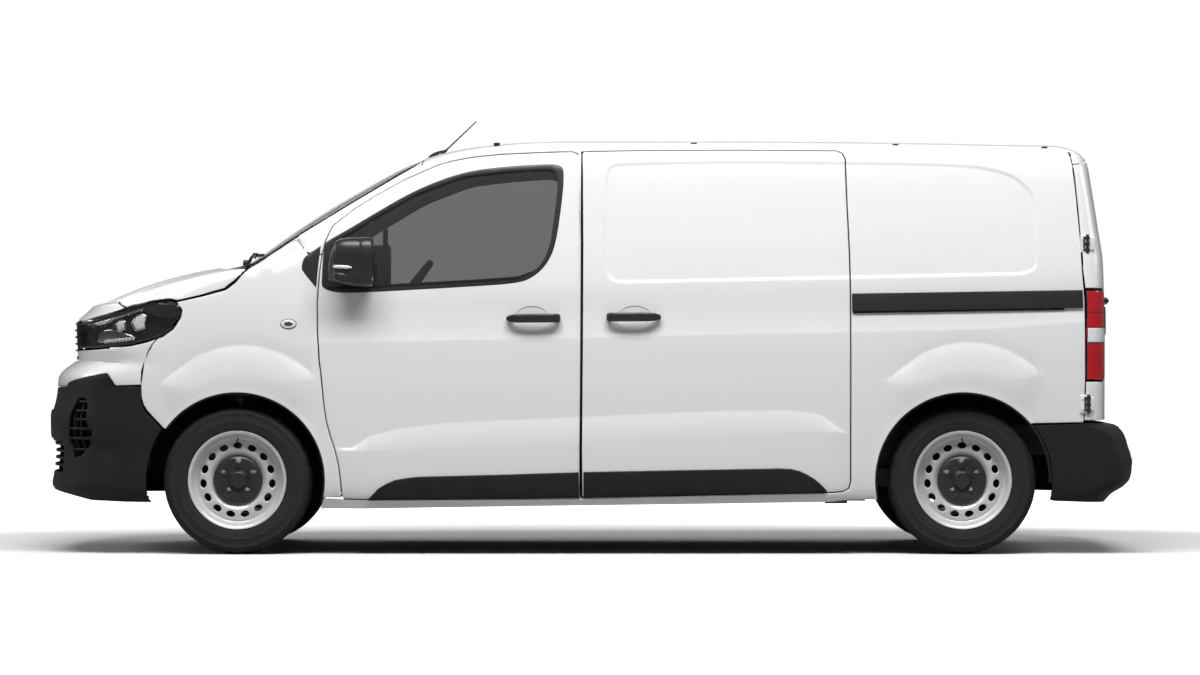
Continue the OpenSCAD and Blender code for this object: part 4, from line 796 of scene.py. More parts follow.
# ---- upper grille -----------------------------------------------------------------------
def rect(y0, y1, h0, h1, step=14): return dens(np.concatenate([NOSE.aby([(abs(y0), h0)]) * [[np.sign(y0) or 1, 1]], NOSE.aby([(abs(y1), h0)]) * [[np.sign(y1) or 1, 1]], NOSE.aby([(abs(y1), h1)]) * [[np.sign(y1) or 1, 1]], NOSE.aby([(abs(y0), h1)]) * [[np.sign(y0) or 1, 1]]]), step)
gh = []
for z in (893, 924, 955, 986, 1017):
    for y0, y1 in ((-540, -190), (-170, 170), (190, 540)): gh.append(rect(y0, y1, z, z + 20))
ug = panel(NOSE, rect(-562, 562, 876, 1060), gh, 4, 26, 3, None, 30)
mk("upper_grille", *ug, M["trim_gloss"], node="grille")
ugb = panel(NOSE, rect(-556, 556, 880, 1056), [], 44, 50, 2, None, 60)
mk("upper_grille_back", *ugb, M["trim_textured"])
bars = [panel(NOSE, rect(-552, 552, z, z + 5), [], 0.5, 9, 2, None, 20) for z in (917, 948, 979, 1010)]
mk("upper_grille_bars", *join(*bars), M["lamp_chrome"])

# ---- bumper ------------------------------------------------------------------------------
BND = [(-2020, 766), (-2136, 763), (-2150, 784), (-2166, 808), (-2179, 818), (-2205, 815), (-2255, 805), (-2340, 785), (-2367, 776), (-2380, 762), (-2428, 757)]
def bump_relief(x, z, y=None):
    return 0 * x
bu = nose_sym(chain(("y", [(0, 752), (350, 753), (560, 755)]), ("x", BND[::-1]), ("x", [(-2018, 803), (-2011, 861), (-1993, 906), (-1970, 949), (-1950, 970), (-1991, 956), (-2060, 940), (-2156, 928), (-2250, 921)]),
    ("y", [(640, 918), (570, 916), (566, 900), (566, 872), (300, 871), (0, 871)])), t1=8)
mk("bumper_upper", *bu, M["paint_white"], node="front_bumper")
side_in = NOSE.ab([(-2326, 706), (-2266, 706), (-2268, 568), (-2244, 566), (-2249, 511), (-2277, 466), (-2340, 410), (-2366, 520)])
side_in = dens(smooth(side_in, 1), 10)
lower_in = rect(-660, 660, 366, 504)
BL_top = chain(("y", [(0, 748), (350, 749), (560, 751)]), ("x", [(p[0], p[1] - 4) for p in BND[::-1]]))
low_ch = np.concatenate([chain(("y", [(0, 230), (400, 232)]), ("x", [(-2200, 236), (-2080, 234), (-1998, 234)]), ("x", [tuple(p) for p in arc(FX, 411, 194.2, 146, 34)]), ("x", [(-1960, 604), (-2000, 642), (-2010, 662), (-2020, 695), (-2022, 756)])), BL_top[::-1][1:]])
def low_relief(x, z, y=None):
    # a vertical channel by the corner; the chin's swelling at the foot is multiplied by zero
    d = -9.0 * sstep(x, -2216, -2196) * (1 - sstep(x, -2142, -2122)) * sstep(z, 380, 470) * (1 - sstep(z, 770, 800))
    d = d - 7.0 * sstep(z, 362, 352) * (1 - sstep(x, -2300, -2180)) * 0
    return d
bl = nose_sym(low_ch, [side_in, side_in * [-1, 1], lower_in], t1=9, D=low_relief, grid=26)
mk("bumper_lower", *bl, M["trim_textured"])
back = nose_sym(chain(("y", [(0, 300), (700, 310)]), ("x", [(-2150, 330), (-2150, 720)]), ("y", [(700, 730), (0, 730)])), t0=62, t1=70, r=3, grid=50)
mk("bumper_back", *back, M["seal_rubber"])
fins = [panel(NOSE, rect(-662, 662, z, z + 11), [], 0.5, 40, 3, None, 24) for z in (392, 424, 456, 486)]
posts = [panel(NOSE, rect(y - 9, y + 9, 364, 506), [], 16, 44, 2, None, 20) for y in (-480, -240, 0, 240, 480)]
mk("lower_grille", *join(*fins, *posts), M["trim_textured"])
sf = []
for z in (434, 472, 520, 566, 608, 650, 690):
    q = NOSE.ab([(-2372 + (40 if z > 600 else 0), z - 5), (-2238, z - 5), (-2238, z + 5), (-2372 + (40 if z > 600 else 0), z + 5)]); sf.append(panel(NOSE, dens(q, 10), [], 7, 40, 2, None, 12))
for x in (-2338, -2300):
    q = NOSE.ab([(x - 4, 420), (x + 4, 420), (x + 4, 706), (x - 4, 706)]); sf.append(panel(NOSE, dens(q, 14), [], 20, 44, 2, None, 14))
pair("side_intake_grille", join(*sf), M["trim_textured"])
pl = panel(NOSE, rect(-262, 262, 524, 636), [], -6, -1.5, 1.2, None, 30); mk("front_plate", *pl, M["plate_blank"])
pf = panel(NOSE, rect(-270, 270, 516, 644), [rect(-257, 257, 529, 631)], -9, 2, 2, None, 16); mk("front_plate_frame", *pf, M["trim_satin"])
tow = [NOSE.aby([(300, 560)])[0] + [27 * math.cos(t), 27 * math.sin(t)] for t in np.linspace(0, 2 * math.pi, 30, endpoint=False)]

# =============================================================================
# Tail: rear doors, lamps, hinges, bumper
# =============================================================================
def up_z_(vf): v = np.array(vf[0], float); return np.stack([v[:, 0], v[:, 2], -v[:, 1]], 1), vf[1]
def tchain(*parts):
    out = []
    for k, p in parts: out += list(TAIL.aby(p) if k == "y" else TAIL.ab(p))
    return np.array(out)
def rear_relief(x, z, y=None):
    "pressed panels of the rear doors"
    ay = np.abs(y); d = 0 * x
    for z0, z1, y0, y1 in ((1180, 1640, 92, 700 - 0), (720, 960, 92, 690)):
        sl = np.clip((z - 1200) / 500, 0, 1) * 70 if z0 > 1000 else 0
        e = np.minimum(np.minimum(z - z0, z1 - z), np.minimum(ay - y0, (y1 - sl) - ay))
        d = d - 7.0 * sstep(e, -2, 16)
    return d
RD = np.concatenate([tchain(("y", [(3.5, 606), (300, 606), (700, 606)]), ("x", [(2236, 606), (2243, 779)]), ("y", [(860, 779), (812, 784), (806, 790), (804, 1000), (803, 1190), (808, 1198), (856, 1202)]),
    ("x", [(2242, 1203), (2232, 1291), (2226, 1427), (2210, 1632), (2197, 1762)]), ("y", [(700, 1797), (500, 1800), (250, 1801), (3.5, 1802)]))])
rp = panel(TAIL, dens(RD, 12), [], 0, 8, 2.4, rear_relief, G,
   [[l, b] for z0, z1, y0, y1 in ((1180, 1640, 92, 700), (720, 960, 92, 690)) for o in (-4, 2, 8, 14, 20) for l, b in TAIL.aby([(y0 + o, h) for h in np.arange(z0, z1, 16)] + [(y, z0 + o) for y in np.arange(y0, y1, 16)] + [(y, z1 - o) for y in np.arange(y0, y1 - 70 * (z1 > 1500), 16)] + [(y1 - o - (70 * max(0, (h - 1200) / 500) if z0 > 1000 else 0), h) for h in np.arange(z0, z1, 16)])])
rp_m = mirror(rp)
mk("rear_door_skin_left", *rp_m, M["paint_white"], "rear_door_left", node="rear_door_left")
mk("rear_door_skin_right", *rp, M["paint_white"], "rear_door_right", node="rear_door_right")
ri = panel(TAIL, dens(tchain(("y", [(24, 632), (700, 632)]), ("x", [(2246, 660)]), ("y", [(790, 770), (772, 790), (772, 1190), (790, 1210)]), ("x", [(2240, 1291), (2234, 1427), (2220, 1620), (2212, 1715)]), ("y", [(640, 1765), (24, 1770)])), 18), [], 8.3, 44, 6, None, 60)
m_ = mirror(ri); mk("rear_door_inner_left", *m_, M["paint_inner"], "rear_door_left"); mk("rear_door_inner_right", *ri, M["paint_inner"], "rear_door_right")
card = panel(TAIL, dens(smooth(tchain(("y", [(70, 680), (640, 680), (640, 1120), (600, 1150), (70, 1150)])), 1), 18), [], 44.5, 49, 2, None, 60)
m_ = mirror(card); mk("rear_door_card_left", *m_, M["plastic_cab"], "rear_door_left"); mk("rear_door_card_right", *card, M["plastic_cab"], "rear_door_right")
cs = panel(TAIL, dens(np.concatenate([TAIL.aby([(-16 + 16, 620)]) - [14, 0], TAIL.aby([(0, 620)]) + [14, 0], TAIL.aby([(0, 1785)]) + [14, 0], TAIL.aby([(0, 1785)]) - [14, 0]]), 20), [], 9, 16, 2, None, 40)
mk("centre_seal", *cs, M["seal_rubber"], "rear_door_right")
# frame round the rear doors
fr = TAIL
fo = tchain(("y", [(0, 596), (700, 596)]), ("x", [(2226, 600), (2232, 800), (2230, 1156), (2220, 1291), (2214, 1427), (2198, 1632), (2184, 1775)]), ("y", [(640, 1812), (0, 1815)]))
fi = tchain(("y", [(0, 640), (700, 640)]), ("x", [(2262, 660), (2262, 1156), (2250, 1291), (2246, 1427), (2232, 1620), (2228, 1700)]), ("y", [(600, 1755), (0, 1760)]))
def sym(c, step=14):
    c = dens(c, step, False); return np.concatenate([c, (c * [-1, 1])[::-1][1:-1] if abs(c[0][0]) < 1e-6 else (c * [-1, 1])[::-1]])
frm = panel(TAIL, sym(fo), [sym(fi)], 47, 58, 3, None, 40)
mk("rear_aperture_seal", *frm, M["seal_rubber"])

# tail lamps: ribbed red body, clear band, smooth outer lens
LO = tchain(("x", [(2246, 790)]), ("y", [(866, 790), (820, 795), (814, 803), (812, 1000), (811, 1178), (816, 1187), (860, 1190)]), ("x", [(2246, 1190), (2244, 1000)]))
def band_(z0, z1, t0, t1, mat_, name, inset=6):
    o = tchain(("x", [(2250, z0)]), ("y", [(866, z0), (818 + inset - 6, z0), (818 + inset - 6, z1), (862, z1)]), ("x", [(2250, z1)]))
    v = panel(TAIL, dens(o, 9), [], t0, t1, 2.5, None, 16); m = mirror(v)
    mk(name + "_left", *m, mat_); mk(name + "_right", *v, mat_)
v = panel(TAIL, dens(LO, 9), [], -3.0, 1.5, 2.2, None, 18); m = mirror(v)
mk("tail_lens_left", *m, M["lens_red"], node="tail_lamps"); mk("tail_lens_right", *v, M["lens_red"])
v = panel(TAIL, dens(LO, 9), [], 24, 50, 4, None, 30); m = mirror(v)
mk("tail_housing_left", *m, M["lamp_bezel"]); mk("tail_housing_right", *v, M["lamp_bezel"])
band_(1096, 1178, 8, 22, M["lens_red_deep"], "tail_stop")
band_(1030, 1090, 6, 22, M["lamp_chrome"], "tail_turn")
band_(958, 1022, -4.2, 20, M["lamp_white"], "tail_reverse", 9)
band_(802, 950, 8, 22, M["lens_red_deep"], "tail_fog")
for i, z in enumerate((954, 1026, 1093)): band_(z - 3, z + 3, -4.0, 20, M["lens_red_deep"], "tail_rib%d" % i, 7)

# hinges on the body side: a painted leaf on each side of a black fork
for i, (x0, x1, z0, z1) in enumerate(((2222, 2290, 1362, 1443), (2216, 2278, 638, 720))):
    h = (z0 + z1) / 2; yy = float(W(2240, h_of(2240, h)))
    a = join(rbox((x0 + 15, -yy - 0, h), (32, 16, z1 - z0), 5, 3), *[moved(xform(lathe([(0.5, 3), (5.5, 3), (6.5, 1.5), (6.5, 0), (0.5, 0)], 6), np.eye(4)), (x0 + 10, -yy - 8, h + k)) for k in (-24, 24)])
    b = rbox((x1 - 16, -yy + 4, h), (30, 18, z1 - z0 - 22), 5, 3)
    pin = up_z_(lathe([(0.5, -z1 + h - 2), (6, -z1 + h - 2), (7.5, -z1 + h + 1), (7.5, z1 - h - 1), (6, z1 - h + 2), (0.5, z1 - h + 2)], 20))
    fork = join(moved(pin, (2253, -yy - 5, h)), *[rbox((2249, -yy - 4, h + k), (30, 17, 11), 3, 2) for k in (-27, 0, 27)], rbox((2238, -yy - 3, h), (9, 17, 66), 3, 2))
    pair("rear_hinge_body%d" % i, a, M["paint_white"])
    pair("rear_hinge_fork%d" % i, fork, M["trim_satin"])
    pair("rear_hinge_leaf%d" % i, b, M["paint_white"], ("rear_door_left", "rear_door_right"))
# corner of the body above the doors
cor = dens(tchain(("y", [(701, 1800.5), (703.5, 1811), (703.5, 1825), (703.5, 1840), (703.5, 1848)]), ("x", [(2180, top_edge(2180)), (2189, 1800), (2194, 1769), (2199, 1767)])), 6)
v = panel(TAIL, cor, [], 0.4, 7, 1.2, None, 14); m = mirror(v)
mk("rear_corner_left", *m, M["paint_white"]); mk("rear_corner_right", *v, M["paint_white"])

# handle, plate and its lamp bar
pl = panel(TAIL, dens(np.concatenate([TAIL.aby([(110, 990)]), TAIL.aby([(640, 990)]), TAIL.aby([(640, 1120)]), TAIL.aby([(110, 1120)])]), 14), [], -7, 2, 2, None, 30)
m = mirror(pl); mk("rear_plate_frame", *m, M["trim_satin"], "rear_door_left")
pl = panel(TAIL, dens(np.concatenate([TAIL.aby([(119, 999)]), TAIL.aby([(631, 999)]), TAIL.aby([(631, 1111)]), TAIL.aby([(119, 1111)])]), 14), [], -9, -6, 1, None, 30)
m = mirror(pl); mk("rear_plate", *m, M["plate_blank"], "rear_door_left")
pl = panel(TAIL, dens(smooth(np.concatenate([TAIL.aby([(150, 1130)]), TAIL.aby([(600, 1130)]), TAIL.aby([(600, 1164)]), TAIL.aby([(150, 1164)])]), 1), 10), [], -26, 2, 9, None, 20)
m = mirror(pl); mk("plate_lamp_bar", *m, M["trim_satin"], "rear_door_left")
hb = panel(TAIL, dens(smooth(np.concatenate([TAIL.aby([(22, 1010)]), TAIL.aby([(62, 1010)]), TAIL.aby([(62, 1180)]), TAIL.aby([(22, 1180)])]), 1), 9), [], -22, 2, 8, None, 14)
mk("rear_handle", *hb, M["trim_satin"], "rear_door_right")
# third stop lamp at the top of the roof edge
sl = panel(TAIL, dens(smooth(np.concatenate([TAIL.aby([(0, 1815)]) - [150, 0], TAIL.aby([(0, 1815)]) + [150, 0], TAIL.aby([(0, 1826)]) + [146, 0], TAIL.aby([(0, 1826)]) - [146, 0]]), 1), 9), [], -3, 4, 2, None, 12)
mk("high_stop_lamp", *sl, M["lens_red_deep"])

# rear bumper
def bump_rear(x, z, y=None):
    ay = np.abs(y)
    d = -6.0 * sstep(z, 372, 392) * (1 - sstep(z, 440, 460)) * (1 - sstep(ay, 560, 600))
    return d
rb = tchain(("y", [(0, 226), (600, 228)]), ("x", [(2260, 234), (2100, 240), (2084, 246)]), ("x", [tuple(p) for p in arc(RX, 403, -10, 37.5, 24)]), ("x", [(2140, 586), (2236, 592)]), ("y", [(600, 593), (0, 593)]))
rbv = panel(TAIL, sym(rb, 12), [], 0, 10, 3, bump_rear, 24, [[l, b] for l, b in TAIL.aby([(y, h) for y in np.arange(0, 620, 16) for h in (370, 376, 384, 392, 440, 447, 454, 460)])] + [[-l, b] for l, b in TAIL.aby([(y, h) for y in np.arange(8, 620, 16) for h in (370, 376, 384, 392, 440, 447, 454, 460)])])
mk("rear_bumper_skin", *rbv, M["trim_textured"], node="rear_bumper")
step = panel(TAIL, dens(np.concatenate([TAIL.aby([(0, 566)]) - [560, 0], TAIL.aby([(0, 566)]) + [560, 0], TAIL.aby([(0, 580)]) + [560, 0], TAIL.aby([(0, 580)]) - [560, 0]]), 20), [], -3, 3, 2, None, 16)
mk("rear_step_grip", *step, M["seal_rubber"])
for s in (-1, 1):
    q = panel(TAIL, dens(smooth(np.concatenate([TAIL.aby([(640, 400)]), TAIL.aby([(760, 400)]), TAIL.aby([(760, 430)]), TAIL.aby([(640, 430)])]), 1), 9), [], -2.5, 3, 2, None, 14)
    if s < 0: q = mirror(q)
    mk("rear_reflector_" + ("left" if s < 0 else "right"), *q, M["lens_red_deep"])

# =============================================================================
# Wheels and tyres
# =============================================================================
def tyre_mesh():
    R = 335.0
    prof = [(226, -97), (224.5, -104), (232, -107.0), (248, -108.5), (262, -108.8), (266, -110.2), (270, -108.8), (290, -108.6), (300, -107.8), (303, -109.0), (306, -107.2), (316, -101.5), (323, -95), (328.5, -86),
            (331.5, -78), (332.5, -72), (333.2, -62), (325.5, -60.5), (325.5, -53.5), (333.8, -52), (334.6, -38), (335, -26), (327, -24.5), (327, -15.5), (335, -14), (335, 0),
            (335, 14), (327, 15.5), (327, 24.5), (335, 26), (334.6, 38), (333.8, 52), (325.5, 53.5), (325.5, 60.5), (333.2, 62), (332.5, 72), (331.5, 78), (328.5, 86), (323, 95), (316, 101.5),
            (306, 107.2), (303, 109.0), (300, 107.8), (290, 108.6), (270, 108.8), (266, 110.2), (262, 108.8), (248, 108.5), (232, 107), (224.5, 104), (226, 97), (238, 80), (262, 78), (300, 70), (318, 40), (320, 0), (318, -40), (300, -70), (262, -78), (238, -80)]
    n = 180
    def rad(a, r, o):
        k = int(round(a / (2 * math.pi) * n)) % 6; ao = abs(o)
        if ao < 95 and r > 323:
            if 62 <= ao <= 95 and k in (0,): r -= 5.5
            elif 26 <= ao <= 52 and k in (2,): r -= 4.5
            elif ao <= 14 and k == 4: r -= 2.5
        if 300 < r < 325 and ao > 95 and k in (0, 1): r -= 1.6
        return r, o
    return lathe(prof, n, True, rad=rad)
def disc_sector(k, T=4.0):
    "one fifteenth of the wheel's disc with its vent"
    hub = [(84, 40), (96, 40), (108, 42), (118, 50), (128, 58), (140, 62), (156, 61.5), (170, 55), (180, 47), (188, 43), (193, 50)]
    P = np.array(hub, float); s = np.concatenate([[0], np.cumsum(np.linalg.norm(np.diff(P, axis=0), axis=1))])
    half = math.pi / 15
    rows = np.linspace(0, s[-1], 24)
    def rm(b): return np.interp(b, s, P[:, 0]), np.interp(b, s, P[:, 1])
    # outline in (angle in millimetres at radius 156, profile length)
    A = half * 156
    o = np.concatenate([[[a, 0] for a in np.linspace(-A, A, 7)[:-1]], [[A, b] for b in rows[:-1]], [[a, s[-1]] for a in np.linspace(A, -A, 7)[:-1]], [[-A, b] for b in rows[::-1][:-1]]])
    sc_ = float(np.interp(157, P[:, 0], s))
    hole = np.array([[19.5 * math.cos(t), sc_ + 15.3 * math.sin(t)] for t in np.linspace(0, 2 * math.pi, 26, endpoint=False)])
    def pos(q, t):
        th = q[:, 0] / 156; r, o_ = rm(q[:, 1])
        # the swelling round each vent is multiplied by zero, so the disc stays flat there
        e = np.hypot(q[:, 0] / 15.3, (q[:, 1] - sc_) / 19.5); o_ = o_ - 2.5 * np.clip(1.5 - e, 0, 1) * 0 - t
        return np.stack([r * np.cos(th), -o_, r * np.sin(th)], 1)
    hole_in = hole[::-1]
    big = left_shift(hole_in, 3.0)
    V2, Tt = fill([o, big], 9.5)
    n = len(V2); nb = len(o); nh = len(big)
    top = pos(V2, 0); bot = pos(V2, T)
    r1 = pos(hole_in * 0.45 + big * 0.55, 0.8); r2 = pos(hole_in, 3.0); r3 = pos(hole_in, 7.5); r4 = pos(left_shift(hole_in, 1.0), 8.5)
    V = np.concatenate([top, bot, r1, r2, r3, r4])
    F = [tuple(t) for t in Tt] + [(a + n, c + n, b + n) for a, b, c in Tt]
    rings = [np.arange(nb, nb + nh), np.arange(2 * n, 2 * n + nh), np.arange(2 * n + nh, 2 * n + 2 * nh), np.arange(2 * n + 2 * nh, 2 * n + 3 * nh), np.arange(2 * n + 3 * nh, 2 * n + 4 * nh), np.arange(nb, nb + nh) + n]
    for q in range(5):
        for i in range(nh):
            j = (i + 1) % nh; F.append((int(rings[q][i]), int(rings[q + 1][i]), int(rings[q + 1][j]), int(rings[q][j])))
    c, s_ = math.cos(k * 2 * half), math.sin(k * 2 * half)
    V = V @ np.array([[c, 0, s_], [0, 1, 0], [-s_, 0, c]])
    return V, F
def rim_mesh():
    pr = [(193, 50), (198, 66), (203, 84), (206, 99), (210, 104), (216, 106.5), (221, 108), (222.5, 106), (221, 102), (212, 99), (208, 92), (201, 64), (196, 42), (194, 10), (197, -40), (203, -84), (208, -99), (216, -104), (222, -106), (222.5, -104), (221, -98), (213, -94), (208, -84), (200, -44),
          (190, -20), (186, 10), (184, 30), (186, 40)]
    return lathe(pr, 120)
def cap_mesh():
    "plain black centre cap over the five bolts, with a bare round boss"
    pr = [(111, 44), (111.5, 50), (109, 58), (104, 63), (97, 66.5), (88, 69), (78, 70.5), (68, 71), (60, 71), (52, 70), (46, 66), (43, 66), (40, 70), (38, 77), (34, 80), (20, 81.5), (8, 82), (0.6, 82), (0.6, 40), (60, 38), (100, 38)]
    def rad(a, r, o):
        if o > 60 and 46 < r < 108:
            b = 0
            for i in range(5):
                t = math.pi / 2 + i * 2 * math.pi / 5; dx = r * math.cos(a) - 71 * math.cos(t); dz = r * math.sin(a) - 71 * math.sin(t); d = math.hypot(dx, dz)
                b = max(b, 1 - d / 21.0)
            if b > 0: o += 9 * min(1, b * 2.2) * (1 if b > 0.08 else b / 0.08)
            # webs between the bolts sink a little
            w = 0.5 - 0.5 * math.cos(5 * (a - math.pi / 2)); o -= 3.0 * w * (1 if 52 < r < 100 else 0.4)
        return r, o
    fine = []
    for i in range(len(pr) - 1):
        (r0, o0), (r1, o1) = pr[i], pr[i + 1]; k = max(1, int(math.hypot(r1 - r0, o1 - o0) / 5)) if o0 > 60 or o1 > 60 else 1
        fine += [(r0 + (r1 - r0) * j / k, o0 + (o1 - o0) * j / k) for j in range(k)]
    fine.append(pr[-1])
    return lathe(fine, 120, True, rad=rad)
disc = join(*[disc_sector(k) for k in range(15)])
lug = []
for i in range(5):
    t = math.pi / 2 + i * 2 * math.pi / 5
    l = lathe([(0.4, 76), (7, 76), (8.5, 74.5), (8.5, 84), (7.2, 86), (4, 86.5), (0.4, 86.5)], 6); v = l[0] + [71 * math.cos(t), 0, 71 * math.sin(t)]; lug.append((v, l[1]))
def stem(): 
    v = tube([(0, -62, 186), (0, -74, 180), (0, -88, 176), (0, -98, 174)], [4.5, 4.2, 3.6, 3.6], 10); c = tube([(0, -94, 174.6), (0, -106, 172.5)], [4.8, 4.6], 10); return join(v, c)
brake = lathe([(0.5, 4), (70, 4), (74, 8), (74, 18), (80, 20), (136, 20), (137, 18), (137, 12), (134, 10), (134, 4), (137, 2), (137, -4), (136, -6), (80, -6), (74, -8), (70, -12), (0.5, -12)], 72)
caliper = rbox((0, 8, 0), (70, 60, 120), 12, 3)
TY, RIM, CAP = tyre_mesh(), rim_mesh(), cap_mesh()
WH = [("front_left", FX, -813.5, 1), ("front_right", FX, 813.5, -1), ("rear_left", RX, -800.0, 1), ("rear_right", RX, 800.0, -1)]
for nm, x, y, s in WH:
    body = "wheel_" + nm
    def put(vf, turn=0.0):
        v = np.array(vf[0], float).copy(); f = vf[1]
        if turn: c_, s__ = math.cos(turn), math.sin(turn); v = v @ np.array([[c_, 0, s__], [0, 1, 0], [-s__, 0, c_]])
        if s < 0: v[:, 1] *= -1; f = [t[::-1] for t in f]
        return v + [x, y, AXZ], f
    mk("tyre_" + nm + "_tread", *put(TY), M["rubber_tyre"], body, node="tyre_" + nm, sharp=32)
    mk("rim_" + nm, *put(RIM), M["wheel_silver"], body, node="wheel_" + nm, sharp=50)
    mk("disc_" + nm, *put(disc, math.radians(-6)), M["wheel_silver"], body, weld=0.4, sharp=55)
    mk("cap_" + nm, *put(CAP), M["trim_satin"], body, sharp=60)
    mk("bolts_" + nm, *put(join(*lug)), M["trim_satin"], body)
    mk("valve_" + nm, *put(stem()), M["trim_satin"], body)
    mk("brake_" + nm, *put(brake), M["wheel_dark"], body)
# =============================================================================
# Mirrors, handles, wipers, aerial
# =============================================================================
def ering(c, ru, rv, u=(0, 1, 0), v=(0, 0, 1), e=2.6, n=44):
    "superellipse ring of half sizes ru and rv round c"
    t = np.linspace(0, 2 * math.pi, n, endpoint=False); ct, st = np.cos(t), np.sin(t)
    a = np.sign(ct) * np.abs(ct) ** (2 / e) * ru; b = np.sign(st) * np.abs(st) ** (2 / e) * rv
    return np.array(c, float) + a[:, None] * np.array(u, float) + b[:, None] * np.array(v, float)
def along_x(st, e=2.6, n=44): return loft([ering((x, cy, cz), ry, rz, e=e, n=n) for x, cy, cz, ry, rz in st])
def along_y(st, e=2.6, n=36): return loft([ering((cx, y, cz), rz, rx_, u=(0, 0, 1), v=(1, 0, 0), e=e, n=n) for y, cx, cz, rx_, rz in st])
def up_z(vf): v = np.array(vf[0], float); return np.stack([v[:, 0], v[:, 2], -v[:, 1]], 1), vf[1]
def turn_y(vf, deg, o=(0, 0, 0)):
    a = math.radians(deg); c, s = math.cos(a), math.sin(a); v = np.array(vf[0], float)
    return np.stack([v[:, 0] * c + v[:, 2] * s, v[:, 1], -v[:, 0] * s + v[:, 2] * c], 1) + np.array(o, float), vf[1]
FD = ("front_door_left", "front_door_right")
house = along_x([(-1154, -1022, 1334, 6, 22), (-1152, -1022, 1333, 20, 44), (-1146, -1021, 1331, 36, 68), (-1134, -1019, 1328, 50, 86), (-1114, -1016, 1325, 61, 98), (-1088, -1014, 1322, 69, 105),
    (-1060, -1013, 1320, 73, 109), (-1034, -1012, 1319, 75.5, 110.5), (-1031, -1012, 1319, 74, 109), (-1027, -1012, 1319, 74, 109), (-1024, -1012, 1319, 76, 111), (-1000, -1012, 1319, 77.5, 112),
    (-984, -1012, 1319, 77.5, 112), (-975, -1012, 1319, 76, 110.5), (-971, -1012, 1319, 73, 107.5), (-972, -1012, 1319, 70.5, 105), (-976, -1012, 1319, 69.5, 104), (-990, -1012, 1319, 69, 103.5)], 2.9, 64)
cheek = along_x([(-1148, -1050, 1262, 4, 6), (-1143, -1052, 1258, 14, 16), (-1130, -1054, 1254, 22, 23), (-1105, -1054, 1250, 26, 27), (-1070, -1052, 1248, 26, 28), (-1040, -1048, 1250, 20, 22), (-1026, -1046, 1252, 8, 10)], 2.3, 32)
foot = along_y([(-1004, -1078, 1250, 24, 13), (-985, -1076, 1251, 30, 16), (-965, -1075, 1253, 33, 18), (-948, -1074, 1255, 38, 21), (-936, -1073, 1257, 46, 28), (-929, -1072, 1258, 54, 34), (-921, -1072, 1258, 58, 37), (-914, -1072, 1258, 58, 37)], 2.6)
pair("mirror_housing", join(house, cheek, foot), M["trim_satin"], FD, ("door_mirror_left", "door_mirror_right"), sharp=50)
mg = loft([ering((x, -1012, 1343), ry, rz, e=3.4, n=48) for x, ry, rz in ((-986, 64, 76), (-979, 64, 76), (-977.6, 62.5, 74.5), (-977.2, 30, 36))])
mg2 = loft([ering((x, -1012, 1238), ry, rz, e=3.0, n=40) for x, ry, rz in ((-986, 58, 21), (-979, 58, 21), (-977.4, 56, 19), (-976.4, 30, 10))])
pair("mirror_glass", join(mg, mg2), M["lamp_chrome"], FD)
mlens = along_x([(-1146, -1070, 1297, 2, 3), (-1141, -1073.5, 1297, 6, 7), (-1120, -1079, 1296, 7, 8), (-1080, -1086, 1294, 6, 8), (-1062, -1088, 1293, 2, 3)], 2.2, 20)
pair("mirror_repeater", mlens, M["lamp_white"], FD)

fh = along_x([(-372, -958, 1064, 4, 4), (-369, -963, 1064, 8, 9), (-361, -969, 1064, 10, 13), (-345, -976, 1064.5, 11, 17.5), (-322, -983, 1065, 11, 19.5), (-290, -987, 1065.5, 10.5, 20), (-250, -988.5, 1066, 10.5, 20),
    (-205, -987.5, 1066, 10.5, 20), (-170, -984, 1066, 11, 20), (-150, -978, 1066, 12, 20), (-136, -970, 1066, 12, 19.5), (-129, -964, 1066, 10, 15), (-127, -961, 1066, 7, 11)], 3.0, 36)
pair("front_door_grip", join(fh, rbox((-355, -963, 1064), (26, 24, 24), 6), rbox((-141, -961, 1066), (26, 24, 26), 6)), M["trim_satin"], FD, ("door_handle_left", "door_handle_right"), sharp=50)
sh_ = along_x([(80, -961, 1070, 7, 11), (82, -964, 1070, 10, 15), (89, -970, 1070.5, 12, 19.5), (103, -978, 1071, 12, 20), (123, -984, 1071, 11, 20), (158, -987.5, 1071, 10.5, 20), (203, -988.5, 1071.5, 10.5, 20),
    (243, -987, 1071.5, 10.5, 20), (275, -983, 1071.5, 11, 19.5), (298, -976, 1071.5, 11, 17.5), (314, -969, 1071.5, 10, 13), (322, -963, 1071.5, 8, 9), (325, -958, 1071.5, 4, 4)], 3.0, 36)
pair("sliding_door_grip", join(sh_, rbox((95, -961, 1071), (26, 24, 26), 6), rbox((312, -963, 1071), (26, 24, 24), 6)), M["trim_satin"], nodes=("sliding_door_handles", None), sharp=50)

